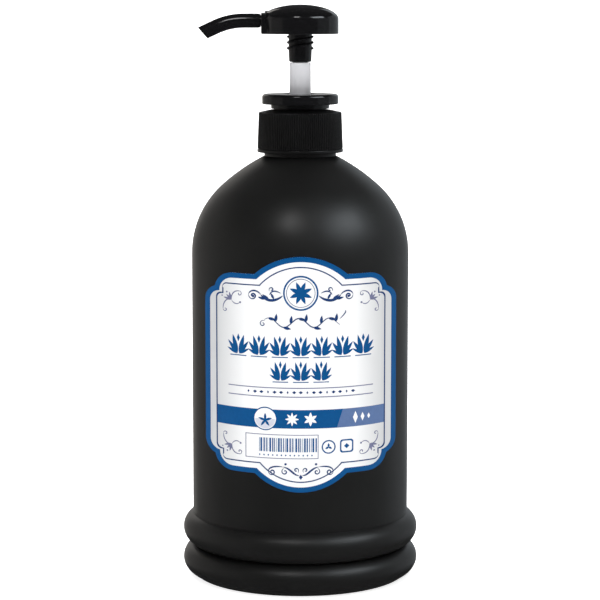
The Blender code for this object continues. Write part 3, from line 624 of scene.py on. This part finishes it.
def make_head(gloss):
    """The press head: dome, flat boss at the spout's root, threaded sleeve, ribs underneath."""
    ceiling = HEAD_TOP - HEAD_WALL
    inner = HEAD - HEAD_WALL
    outside = dome(HEAD, HEAD_SHOULDER, HEAD_TOP, 36)
    outside += [(HEAD, 234.0), (HEAD, HEAD_LOW, 0.3)]
    outside += [(inner, HEAD_LOW, 0.3), (inner, HEAD_LOW + 2.0)]
    under = dome(inner, HEAD_SHOULDER - 0.4, ceiling, 20, stop=6.2)[::-1]
    middle = [
        (4.95, ceiling - 0.5, 0.8), (4.95, LOCK_TOP - 5.5), (4.75, SLEEVE_LOW + 0.6, 0.3),
        (4.55, SLEEVE_LOW, 0.35), (3.55, SLEEVE_LOW, 0.3), (3.55, 232.0), (SPOUT_BORE, 232.0),
        (SPOUT_BORE, SPOUT_Z + SPOUT_BORE), (0.0, SPOUT_Z + SPOUT_BORE),
    ]
    profile = rounded(outside + under + middle)
    head = build("press_head", [lathe(profile, even(192), closed=False)])
    boss = build("boss", [block((BOSS_FACE, -7.3, HEAD_LOW), (-12.5, 7.3, 239.9))])
    carve(head, boss, "UNION", 0.55 * MM)
    carve(head, rod("duct", -14.8, -3.0, 4.1), "UNION")
    rib = block((4.5, -0.45, HEAD_LOW + 2.5), (HEAD - 0.8, 0.45, HEAD_SHOULDER + 1.2))
    for i in range(5):
        plate = build(f"plate_{i}", [rib])
        turn = math.radians(60.0 * (i + 1)) + math.pi
        plate.data.transform(Matrix.Rotation(turn, 4, "Z"))
        carve(head, plate, "UNION")
    carve(head, rod("socket", -20.0, SPIGOT_END + GAP, SPIGOT + GAP), "DIFFERENCE")
    carve(head, rod("channel", -18.0, 0.0, SPOUT_BORE), "DIFFERENCE")
    place(head, "head", "pump_head", gloss)

    low = LOCK_TOP - LOCK_TURNS * LOCK_LEAD
    ridges = []
    for start in (LOCK_START, LOCK_START + math.pi):
        ridges.append(thread(4.4, 5.75, 1.5, low, LOCK_LEAD, LOCK_TURNS, start))
    place(build("lock_thread", ridges, 40.0), "head", None, gloss)


def rod(name, start, end, radius):
    """A cylinder along X at the spout's height."""
    bm = bmesh.new()
    bmesh.ops.create_cone(bm, cap_ends=True, segments=64, radius1=radius * MM, radius2=radius * MM,
                          depth=abs(end - start) * MM)
    obj = finish_mesh(name, bm)
    turn = Matrix.Rotation(math.pi / 2, 4, "Y")
    obj.data.transform(Matrix.Translation(((start + end) / 2 * MM, 0.0, SPOUT_Z * MM)) @ turn)
    return obj


def make_spout(gloss):
    """The spout tube: straight, then a bend and a drooping end with an oblique mouth."""
    droop = math.radians(25.0)
    bend, bend_x, tail = 28.5, -23.7, 5.8
    butt = BOSS_FACE - GAP
    path = [(x, 0.0, SPOUT_Z) for x in (SPIGOT_END, butt, -18.0, bend_x)]
    for i in range(1, 21):
        angle = droop * i / 20
        path.append((bend_x - bend * math.sin(angle), 0.0, SPOUT_Z - bend + bend * math.cos(angle)))
    end = path[-1]
    for i in range(1, 5):
        reach = tail * i / 4
        path.append((end[0] - reach * math.cos(droop), 0.0, end[2] - reach * math.sin(droop)))
    last = len(path) - 1
    rings = [(0, SPIGOT_BORE), (0, SPIGOT), (1, SPIGOT), (1, SPOUT - 0.15)]
    rings += [(i, SPOUT) for i in range(2, last)]
    rings += [(last, SPOUT), (last, SPOUT - 0.12), (last, SPOUT_BORE + 0.1), (last, SPOUT_BORE)]
    rings += [(i, SPOUT_BORE) for i in range(last - 1, 1, -1)] + [(1, SPIGOT_BORE)]
    tube = build("spout_tube", [swept(path, rings, 64, math.radians(16.0))], 40.0)
    place(tube, "head", "nozzle", gloss)


# The pump's inner pieces ------------


def make_stem():
    profile = [
        (2.2, 194.9), (2.2, 231.7), (2.95, 231.7, 0.2), (3.25, 231.3, 0.2), (3.25, 219.0),
        (4.5, 219.0, 0.15), (4.5, 189.2, 0.2), (2.7, 189.2), (2.7, 194.9),
    ]
    stem = build("white_stem", [lathe(rounded(profile), even(96))])
    place(stem, "plunger", "stem", stem_material())


def make_housing(milky):
    """The pump's cylinder, with the tube's socket below and the flange above."""
    flange = CAP_CEILING - GAP
    barrel, wide, socket, seat = 6.6, 8.0, 3.1, 1.6
    profile = [
        (wide, 201.7), (9.2, 201.7, 0.3), (9.2, flange, 0.1), (NECK, flange, 0.2),
        (NECK, flange - 1.3, 0.2), (9.2, flange - 1.3, 0.4), (9.2, 188.8, 0.8), (7.8, 186.8, 0.8),
        (7.8, 144.9, 0.5), (4.6, 141.9, 0.5), (4.6, 126.5, 0.3), (socket, 126.5, 0.2),
        (socket, 137.9), (seat, 137.9), (seat, 139.7), (3.3, 141.4), (3.3, 145.5),
        (barrel, 145.5), (barrel, 190.0), (wide, 190.0),
    ]
    shells = [lathe(rounded(profile), even(96))]
    fin, faces = block((-0.4, 4.3, 128.5), (0.4, barrel + 0.5, 144.0))
    for i in range(4):
        turn = Matrix.Rotation(math.pi / 2 * i, 4, "Z")
        shells.append(([tuple(turn @ Vector(v)) for v in fin], faces))
    cylinder = build("pump_cylinder", shells)
    place(cylinder, "pump_body", "pump_housing", milky)


def make_tube(milky):
    """The suction tube with its aslant foot."""
    slant = math.tan(math.radians(40.0))
    outer, bore, top, foot = 2.8, 1.9, 137.6, 9.0
    profile = [(bore, top), (outer, top, 0.2), (outer, 60.0), (outer, foot), (bore, foot), (bore, 60.0)]
    verts, faces = lathe(rounded(profile), even(64))
    verts = [(x, y, z + (outer - x) * slant if z < foot + 1.0 else z) for x, y, z in verts]
    tube = build("suction_tube", [(verts, faces)])
    place(tube, "pump_body", "dip_tube", milky)


def make_spring():
    """The return spring, closed coils at both ends."""
    low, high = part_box("return_spring")
    foot, top = low[2] / MM, high[2] / MM
    radius, wire, turns, per_turn, sides = 4.5, 0.44, 7, 28, 10
    coil = 2.25 * wire
    pitch = (top - foot - 2 * wire - 2 * coil) / (turns - 2)
    steps = per_turn * turns
    verts = []
    for i in range(steps + 1):
        turn = turns * i / steps
        free = min(max(turn - 1.0, 0.0), turns - 2.0)
        height = foot + wire + (turn - free) * coil + free * pitch
        for angle in even(sides):
            reach = radius + wire * math.cos(angle)
            rise = height + wire * math.sin(angle)
            verts.append((reach * math.cos(TURN * turn), reach * math.sin(TURN * turn), rise))
    spring = build("wire_spring", [(verts, strip(steps, sides))])
    place(spring, "pump_body", "return_spring", steel_material())
    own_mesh(spring)


def make_gasket():
    profile = [(9.9, 194.9), (14.8, 194.9, 0.35), (14.8, 193.8, 0.35), (9.9, 193.8, 0.2)]
    gasket = build("foam_gasket", [lathe(rounded(profile), even(128))])
    place(gasket, "seal_ring", "neck_gasket", foam_material())


# Label ------------


def mirrored(half):
    """Closes a half outline, given from the top centre to the bottom centre, over the centre line."""
    return half + [(-u, v) for u, v in reversed(half[1:-1])]


def both_ends(quarter):
    """Half an outline, its lower quarter the mirror image of the given upper one."""
    return quarter + [(u, 2 * LABEL_MIDDLE - v) for u, v in reversed(quarter)]


def outline(inset=0.0):
    """The label's edge: an arch top and bottom, flat shoulders, corners of two lobes."""
    rise, half = 7.5, 19.1
    crown = (half * half + rise * rise) / (2 * rise)
    flat = LABEL_TOP - rise
    centre = LABEL_TOP - crown
    reach = crown - inset
    drop = flat - inset - centre
    meet = math.acos(drop / reach)
    points = arc((0.0, centre), reach, math.pi / 2, math.pi / 2 - meet, 24)
    first = ((28.2, flat - 7.7), 7.7 - inset)
    second = ((LABEL_HALF - 6.4, flat - 12.2), 6.4 - inset)
    gap = Vector(second[0]) - Vector(first[0])
    along = (first[1] ** 2 - second[1] ** 2 + gap.length ** 2) / (2 * gap.length)
    off = math.sqrt(first[1] ** 2 - along * along)
    side = Vector((-gap.y, gap.x)).normalized()
    notch = Vector(first[0]) + gap.normalized() * along + side * off
    turns = [math.atan2(notch.y - v, notch.x - u) for (u, v), radius in (first, second)]
    points += arc(*first, math.pi / 2, turns[0], 12) + arc(*second, turns[1], 0.0, 12)[1:]
    return mirrored(both_ends(points))


def inner_frame(inset=0.0):
    """The thin line inside the border, with stepped corners."""
    top, flat, half = 137.4 - inset, 129.7 - inset, 17.0
    rise = 137.4 - 129.7
    crown = (half * half + rise * rise) / (2 * rise) - inset
    centre = top - crown
    meet = math.acos((flat - centre) / crown)
    points = arc((0.0, centre), crown, math.pi / 2, math.pi / 2 - meet, 20)
    points += arc((30.6, flat - 1.9), 1.9, math.pi / 2, 0.0, 6)[:-1]
    points += [(32.5 - inset, flat - 1.9), (32.5 - inset, 125.5 - inset)]
    points += arc((33.1 - inset, 123.4 - inset), 2.1, math.pi / 2, 0.0, 6)
    return mirrored(both_ends(points))


def circle(u, v, radius, count=48):
    return [(u + radius * math.cos(a), v + radius * math.sin(a)) for a in even(count)]


def rectangle(u0, v0, u1, v1):
    return [(u0, v0), (u1, v0), (u1, v1), (u0, v1)]


def stroke(points, width, taper=0.15):
    """The outline of a pen stroke that swells in the middle and thins at its ends."""
    left, right = [], []
    last = len(points) - 1
    for i, (u, v) in enumerate(points):
        before = points[max(i - 1, 0)]
        after = points[min(i + 1, last)]
        du, dv = after[0] - before[0], after[1] - before[1]
        size = math.hypot(du, dv) or 1.0
        half = width / 2 * (taper + (1 - taper) * math.sin(math.pi * i / last) ** 0.6)
        left.append((u - dv / size * half, v + du / size * half))
        right.append((u + dv / size * half, v - du / size * half))
    return left + right[::-1]


def spiral(u, v, start, radius, turns, end_radius=0.35, steps=30):
    """Points of a spiral that winds in from an angle; negative turns wind clockwise."""
    points = []
    for i in range(steps + 1):
        t = i / steps
        angle = start + TURN * turns * t
        reach = radius + (end_radius - radius) * t ** 0.8
        points.append((u + reach * math.cos(angle), v + reach * math.sin(angle)))
    return points


def bezier(a, b, c, d, steps=16):
    """Points on a cubic Bezier curve."""
    points = []
    for i in range(steps + 1):
        t = i / steps
        s = 1 - t
        shares = (s ** 3, 3 * s * s * t, 3 * s * t * t, t ** 3)
        points.append(tuple(sum(w * p[k] for w, p in zip(shares, (a, b, c, d))) for k in (0, 1)))
    return points


def leaf(u, v, length, width, angle, steps=10):
    """A pointed leaf growing from a point at an angle."""
    upper = []
    for i in range(steps + 1):
        t = i / steps
        half = width / 2 * math.sin(math.pi * t ** 0.8) ** 0.9 if 0 < i < steps else 0.0
        upper.append((length * t, half))
    ring = upper + [(x, -y) for x, y in reversed(upper[1:-1])]
    cos, sin = math.cos(angle), math.sin(angle)
    return [(u + x * cos - y * sin, v + x * sin + y * cos) for x, y in ring]


def lozenge(u, v, width, height):
    return [(u, v + height / 2), (u + width / 2, v), (u, v - height / 2), (u - width / 2, v)]


def flipped(loops, u=False, v=False):
    """The same loops mirrored over the label's centre lines."""
    def flip(a, b):
        return -a if u else a, 2 * LABEL_MIDDLE - b if v else b

    return [[flip(a, b) for a, b in loop] for loop in loops]


def fill(loops):
    """A flat plate, one millimetre thick, of loops with their holes."""
    curve = bpy.data.curves.new("plate", "CURVE")
    curve.dimensions = "2D"
    curve.fill_mode = "BOTH"
    curve.extrude = 0.5
    for loop in loops:
        spline = curve.splines.new("POLY")
        spline.points.add(len(loop) - 1)
        for point, (u, v) in zip(spline.points, loop):
            across, up = u * PRINT_SCALE + PRINT_SHIFT, PRINT_TOP - (LABEL_TOP - v) * PRINT_SCALE
            point.co = (across, up, 0.0, 1.0)
        spline.use_cyclic_u = True
    obj = bpy.data.objects.new("plate", curve)
    bpy.context.scene.collection.objects.link(obj)
    bpy.context.view_layer.update()
    mesh = bpy.data.meshes.new_from_object(obj.evaluated_get(bpy.context.evaluated_depsgraph_get()))
    bm = bmesh.new()
    bm.from_mesh(mesh)
    bmesh.ops.remove_doubles(bm, verts=bm.verts, dist=1e-4)
    bpy.data.objects.remove(obj)
    bpy.data.curves.remove(curve)
    bpy.data.meshes.remove(mesh)
    return bm


def printed(name, shapes, low, high, material):
    """Wraps flat shapes on the bottle, between two heights above its wall, as one piece."""
    whole = bmesh.new()
    step = math.radians(1.5)
    for index, loops in enumerate(shapes):
        bm = fill(loops)
        across = [v.co.x for v in bm.verts]
        up = [v.co.y for v in bm.verts]
        cuts = [((BODY * math.sin(k * step), 0, 0), (1, 0, 0)) for k in range(-42, 43)]
        cuts += [((0, SHOULDER_Z + k, 0), (0, 1, 0)) for k in range(5)]
        for point, normal in cuts:
            value = point[0] if normal[0] else point[1]
            span = across if normal[0] else up
            if min(span) + 1e-3 < value < max(span) - 1e-3:
                geometry = bm.verts[:] + bm.edges[:] + bm.faces[:]
                bmesh.ops.bisect_plane(bm, geom=geometry, dist=1e-5, plane_co=point, plane_no=normal)
        lift = 0.0015 * (index % 4)
        for vert in bm.verts:
            u, v, w = vert.co
            radius = wall_radius(v) + low + (high + lift - low) * (w + 0.5)
            angle = math.asin(max(-1.0, min(1.0, u / BODY)))
            vert.co = (radius * math.sin(angle) * MM, -radius * math.cos(angle) * MM, v * MM)
        bmesh.ops.recalc_face_normals(bm, faces=bm.faces)
        mesh = bpy.data.meshes.new("shape")
        bm.to_mesh(mesh)
        bm.free()
        whole.from_mesh(mesh)
        bpy.data.meshes.remove(mesh)
    piece = finish_mesh(name, whole, 30.0)
    piece.data.materials.append(material)
    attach(piece, "bottle")
    return piece


def corner_flourish():
    """A small plant-like flourish for one corner, in thin lines."""
    return [
        stroke(bezier((24.6, 126.4), (27.0, 127.2), (29.0, 125.4), (28.6, 122.6)), 0.46),
        stroke(spiral(25.3, 125.5, math.pi * 0.6, 1.0, 0.9, 0.25), 0.41),
        stroke(bezier((28.6, 122.6), (30.6, 123.6), (32.4, 121.2), (32.2, 118.4)), 0.46),
        stroke(spiral(31.3, 118.5, 0.1, 0.95, -0.9, 0.25), 0.41),
        stroke(bezier((28.6, 122.6), (27.6, 121.0), (26.2, 120.8), (25.2, 121.8)), 0.41),
        leaf(28.8, 122.9, 3.1, 0.95, math.radians(75)),
        leaf(28.9, 122.7, 3.2, 0.95, math.radians(15)),
        leaf(28.8, 122.8, 2.9, 0.9, math.radians(45)),
        circle(30.6, 125.8, 0.36, 12),
        circle(32.6, 124.1, 0.30, 12),
        circle(25.0, 121.9, 0.42, 12),
    ]


def side_scroll():
    """The scroll that runs out from the medallion, drawn for one side."""
    return [
        stroke(bezier((7.4, 125.4), (10.5, 122.6), (14.4, 122.8), (16.4, 125.6)), 1.14),
        stroke(bezier((16.4, 125.6), (17.6, 127.4), (20.6, 128.0), (21.5, 125.6)), 0.66),
        stroke(spiral(19.7, 125.1, 0.25, 1.8, -1.3, 0.3), 0.60),
        circle(19.6, 124.9, 0.55, 16),
        stroke(bezier((8.2, 126.4), (10.2, 127.6), (12.2, 127.6), (12.8, 125.6)), 0.60),
        stroke(spiral(12.0, 127.9, -0.6, 1.1, 1.0, 0.25), 0.50),
        leaf(13.0, 123.6, 3.6, 1.1, math.radians(38)),
        leaf(11.0, 123.9, 3.0, 0.95, math.radians(62)),
        leaf(14.6, 123.8, 3.2, 1.0, math.radians(14)),
    ]


def foot_scroll():
    """One side of the ornament at the label's foot."""
    return [
        stroke(bezier((0.6, 50.4), (3.0, 50.2), (4.2, 53.6), (7.4, 53.9)), 0.78),
        stroke(bezier((7.4, 53.9), (10.4, 54.4), (13.6, 53.8), (13.4, 51.6)), 0.62),
        stroke(spiral(11.9, 51.7, 0.1, 1.55, -1.25, 0.25), 0.56),
        stroke(spiral(6.6, 51.9, 1.4, 1.5, -1.2, 0.25), 0.53),
        stroke(spiral(1.9, 52.6, -2.2, 1.2, -1.1, 0.22), 0.50),
        circle(6.3, 55.1, 0.5, 14),
    ]


def palmette(u, v, height, width):
    """An upright ornament of paired leaves over a lozenge: the big row is a run of them."""
    base = v - height / 2
    loops = []
    for side in (-1, 1):
        for spread, length, thick in ((0.24, 0.98, 0.20), (0.62, 0.80, 0.17), (1.06, 0.58, 0.13)):
            angle = math.pi / 2 - side * spread
            loops.append(leaf(u + side * 0.05 * width, base + height * 0.10, height * length * 0.9,
                              height * thick, angle))
    loops.append(lozenge(u, base + height * 0.82, width * 0.16, height * 0.36))
    loops.append(rectangle(u - width * 0.42, base, u + width * 0.42, base + height * 0.045))
    return loops


def rosette(u, v, radius, petals, start=0.0, width=0.42):
    """Petals round a centre."""
    return [leaf(u, v, radius, radius * width, start + TURN * i / petals) for i in range(petals)]


def single(loops):
    """Every loop as a shape of its own."""
    return [[loop] for loop in loops]


def make_label():
    """The label: its film, and each ink's shapes as a thin plate on top of it."""
    blue = ink_material("ink_blue", (0.0006, 0.076, 0.245))
    navy = ink_material("ink_navy", (0.013, 0.045, 0.16))
    slate = ink_material("ink_slate", (0.105, 0.172, 0.345))
    grey = ink_material("ink_grey", (0.165, 0.175, 0.29))
    pale = ink_material("ink_pale", (0.62, 0.64, 0.72))
    white = ink_material("ink_white", PAPER)

    film = printed("label_sheet", [[outline()]], 0.05, 0.17, film_material())
    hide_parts("front_label")
    first, second, third, fourth = (0.16, 0.19), (0.18, 0.205), (0.195, 0.22), (0.20, 0.235)
    medal = 126.5  # the height of the round at the top
    low, mid, high = 70.1, 74.0, 77.9  # the blue band
    left, right, slit = -34.9, 34.9, (14.9, 17.4)
    disc = -14.7
    icons, ring, square = 62.2, 11.5, 19.0  # the row of marks at the foot

    shapes = [[outline(), outline(BORDER)]]
    shapes += [[circle(0, medal, 7.25, 72), circle(0, medal, 6.55, 72)]]
    shapes += [[[(left, low), (slit[0], low), (slit[1], high), (left, high)]]]
    shapes += [[circle(disc, mid, 4.95), circle(disc, mid, 4.45)]]
    for i in range(7):
        shapes += single(palmette(-25.8 + 8.6 * i, 104.2, 9.2, 8.0))
    for i in range(3):
        shapes += single(palmette(-8.4 + 8.4 * i, 93.8, 9.0, 7.6))
    shapes += single(rosette(0, medal, 4.9, 8, math.pi / 8, 0.36))
    printed("label_blue_print", shapes, *first, blue)

    shapes = [[inner_frame(), inner_frame(0.5)]]
    shapes += [[circle(0, medal, 5.95, 64), circle(0, medal, 5.72, 64)]]
    for scroll in (side_scroll(), foot_scroll()):
        shapes += single(scroll) + single(flipped(scroll, u=True))
    shapes += [[lozenge(0, 49.7, 1.6, 2.2)]]
    shapes += single(vine())
    for i in range(17):
        u = -21.6 + 2.7 * i
        wide = 1.7 if i % 3 else 0.8
        shapes += [[lozenge(u, 85.2, wide, 1.3)]]
    printed("label_navy_print", shapes, *second, navy)

    shapes = [[rectangle(-30.0, 86.8, 30.0, 87.2)], [rectangle(-30.0, 83.1, 30.0, 83.5)]]
    corner = corner_flourish()
    for u in (False, True):
        for v in (False, True):
            shapes += single(flipped(corner, u, v))
    shapes += [[rectangle(-22.9, 57.3, 7.3, 67.5), rectangle(-22.6, 57.6, 7.0, 67.2)]]
    printed("label_grey_print", shapes, *first, grey)

    shapes = [[[(slit[0], low), (right, low), (right, high), (slit[1], high)]]]
    printed("label_slate_print", shapes, *first, slate)

    shapes = []
    u = -17.2
    for i in range(27):
        wide = 0.22 + 0.17 * ((i * 7) % 4)
        shapes.append([rectangle(u, 60.2, u + wide, 66.0)])
        u += wide + 0.30 + 0.12 * ((i * 5) % 3)
    shapes += [[circle(ring, icons, 2.9), circle(ring, icons, 2.35)]]
    shapes += [[softened_square(square, icons, 2.8), softened_square(square, icons, 2.2)]]
    shapes += single(rosette(ring, icons, 1.6, 3, math.pi / 2, 0.55))
    shapes += [[lozenge(square, icons, 2.2, 2.2)]]
    shapes += [[lozenge(-17.0 + 1.8 * i, 58.8, 0.7, 0.9)] for i in range(13)]
    printed("label_mark_print", shapes, *first, blue)

    printed("label_white_disc", [[circle(disc, mid, 4.46)]], *second, white)
    lower = [p for p in circle(disc, mid, 4.2, 64) if p[1] <= mid + 0.2]
    printed("label_pale_print", [[sorted_ring(lower, (disc, 72.0))]], *third, pale)
    shapes = single(rosette(disc, 73.4, 3.0, 5, math.pi / 2, 0.34))
    printed("label_sprig_print", shapes, *fourth, blue)

    shapes = single(rosette(-3.6, mid, 2.9, 8, 0.0, 0.34))
    shapes += single(rosette(4.0, mid, 2.9, 6, math.pi / 2, 0.44))
    for u, width, height in ((22.6, 2.0, 5.0), (25.6, 1.6, 3.6), (28.2, 1.2, 2.4)):
        shapes += [[lozenge(u, mid, width, height)]]
    printed("label_white_print", shapes, *second, white)


def sorted_ring(points, centre):
    """Points in order of their angle about a centre."""
    return sorted(points, key=lambda p: math.atan2(p[1] - centre[1], p[0] - centre[0]))


def softened_square(u, v, half):
    """A square ring with well rounded corners."""
    points = []
    soft = half * 0.4
    for k, (su, sv) in enumerate(((1, 1), (-1, 1), (-1, -1), (1, -1))):
        start = math.pi / 2 * k
        centre = (u + su * (half - soft), v + sv * (half - soft))
        points += arc(centre, soft, start, start + math.pi / 2, 6)
    return points


def vine():
    """A curling vine with leaves between the medallion and the big row."""
    def along(t):
        return -15.0 + 31.0 * t, 114.2 + 1.9 * math.sin(t * TURN * 2.5 + 0.6)

    loops = [stroke([along(i / 60) for i in range(61)], 0.5, 0.3)]
    for i in range(10):
        side = 1 if i % 2 else -1
        angle = math.radians(35) + side * math.radians(48)
        loops.append(leaf(*along((i + 0.5) / 10), 3.4, 1.25, angle))
    loops.append(stroke(spiral(-15.6, 113.6, 0.9, 1.5, 1.2, 0.25), 0.42))
    loops.append(stroke(bezier((16.0, 115.6), (17.6, 117.0), (19.0, 118.6), (18.2, 119.0)), 0.45))
    return loops


# Studio ------------


WHITE = (1.0, 1.0, 1.0)
WARM, COOL = (1.0, 0.96, 0.91), (0.88, 0.95, 1.0)
DIM = 0.045  # how bright the room around the set is
# The camera that took the photograph, worked out from the object's outline
CAMERA_PLACE = (0.0, -0.9624, 0.2427)
CAMERA_PITCH = 7.38
CAMERA_LENS = 136.24
CAMERA_SHIFT = -0.0003


def softbox(name, bearing, height, away, size, radiance, colour=WHITE, aim=0.13, kind="card"):
    """A soft light by its bearing (degrees right of the camera's side), height angle and distance.

    radiance is how bright its face looks. A card only shows in reflections, and a polarised lamp
    lights without leaving any.
    """
    turn, rise = math.radians(bearing), math.radians(height)
    toward = Vector((math.sin(turn) * math.cos(rise), -math.cos(turn) * math.cos(rise), math.sin(rise)))
    light = bpy.data.lights.new(name, "AREA")
    light.shape = "RECTANGLE"
    light.size, light.size_y = size
    light.energy = radiance * math.pi * size[0] * size[1]
    light.color = colour
    obj = bpy.data.objects.new(name, light)
    obj.location = Vector((0.0, 0.0, aim)) + toward * away
    obj.rotation_euler = toward.to_track_quat("Z", "Y").to_euler()
    obj.visible_camera = False
    obj.visible_glossy = kind != "polarised"
    obj.visible_diffuse = kind != "card"
    bpy.context.scene.collection.objects.link(obj)
    return obj


def make_world():
    """White behind the object for the camera, dim everywhere else so that black plastic stays black."""
    world = bpy.data.worlds.new("studio")
    world.use_nodes = True
    nodes, links = world.node_tree.nodes, world.node_tree.links
    seen = nodes["Background"]
    seen.inputs["Color"].default_value = (*WHITE, 1.0)
    around = nodes.new("ShaderNodeBackground")
    around.inputs["Color"].default_value = (*WHITE, 1.0)
    around.inputs["Strength"].default_value = DIM
    path = nodes.new("ShaderNodeLightPath")
    mix = nodes.new("ShaderNodeMixShader")
    links.new(path.outputs["Is Camera Ray"], mix.inputs["Fac"])
    links.new(around.outputs["Background"], mix.inputs[1])
    links.new(seen.outputs["Background"], mix.inputs[2])
    links.new(mix.outputs["Shader"], nodes["World Output"].inputs["Surface"])
    bpy.context.scene.world = world


def make_floor():
    """A pale floor that sweeps up behind, a hair below the bottle's foot."""
    rows = [(-1.6, 0.0), (1.2, 0.0), (1.5, 0.03), (1.72, 0.14), (1.85, 0.35), (1.9, 0.7), (1.9, 2.4)]
    columns = (-2.6, -1.3, 0.0, 1.3, 2.6)
    bm = bmesh.new()
    lines = [[bm.verts.new((x, y, z - 0.0004)) for x in columns] for y, z in rows]
    for low, high in zip(lines, lines[1:]):
        for i in range(4):
            bm.faces.new((low[i], low[i + 1], high[i + 1], high[i]))
    floor = finish_mesh("studio_floor", bm, 60.0)
    glow = {"Emission_Color": (*WHITE, 1.0), "Emission_Strength": 0.85}
    paint = Shader("pale_floor", (0.92, 0.92, 0.92), 0.7, **glow)
    paint.mottle(3.0, 0.01).wear(20.0, 0.05).relief(300.0, 0.02)
    floor.data.materials.append(paint.material)
    floor.visible_glossy = False


def make_lights():
    """Cards that draw the highlights and edges of the black plastic, and lamps without glare."""
    softbox("front_top", -11.5, 46.0, 1.2, (0.28, 0.28), 8.0)
    softbox("right_top", 60.0, 37.0, 1.1, (0.70, 0.44), 5.6, COOL)
    sides = (("left", -1.0, WARM, 0.25, 0.80), ("right", 1.0, COOL, 0.34, 0.62))
    for where, side, colour, flank, rim in sides:
        softbox(f"{where}_panel", side * 78.0, 2.0, 1.0, (0.9, 0.9), 0.17, colour)
        softbox(f"{where}_flank", side * 122.0, 5.0, 1.1, (1.0, 1.2), flank, colour)
        softbox(f"{where}_rim", side * 160.0, 5.0, 1.3, (0.50, 1.3), rim, colour)
    softbox("low_back", 180.0, 2.0, 1.3, (0.30, 0.22), 0.42, aim=0.206)
    softbox("front_fill", 0.0, 38.0, 1.6, (1.2, 0.8), 2.9, kind="polarised")
    softbox("overhead", 0.0, 88.0, 1.5, (2.4, 2.4), 0.7, kind="polarised")
    softbox("backdrop_light", 180.0, 50.0, 1.6, (2.4, 0.6), 8.0, aim=0.4, kind="polarised")


def make_camera():
    """The camera of the photograph, level across and looking a little down."""
    lens = bpy.data.cameras.new("camera")
    lens.lens = CAMERA_LENS
    lens.sensor_width = 36.0
    lens.shift_x = CAMERA_SHIFT
    camera = bpy.data.objects.new("camera", lens)
    camera.location = CAMERA_PLACE
    camera.rotation_euler = (math.radians(90.0 - CAMERA_PITCH), 0.0, 0.0)
    bpy.context.scene.collection.objects.link(camera)
    bpy.context.scene.camera = camera
    bpy.context.scene.view_settings.view_transform = "Standard"


def main():
    gloss = head_material()
    milky = natural_material("milky_plastic", (0.80, 0.81, 0.80), 0.36)
    soft = natural_material("soft_plastic", (0.78, 0.78, 0.76), 0.5)
    make_bottle()
    make_cap()
    make_collar(gloss)
    make_head(gloss)
    make_spout(gloss)
    make_stem()
    make_housing(milky)
    make_tube(milky)
    make_spring()
    make_gasket()
    make_label()
    kept = {
        "ball_cage": milky, "piston_rod": milky, "piston_seal": soft, "stem_wiper": soft,
        "inlet_ball": ball_material(),
    }
    for node, material in kept.items():
        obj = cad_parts[node]
        obj.data.materials.clear()
        obj.data.materials.append(material)
    make_floor()
    make_lights()
    make_world()
    make_camera()


main()
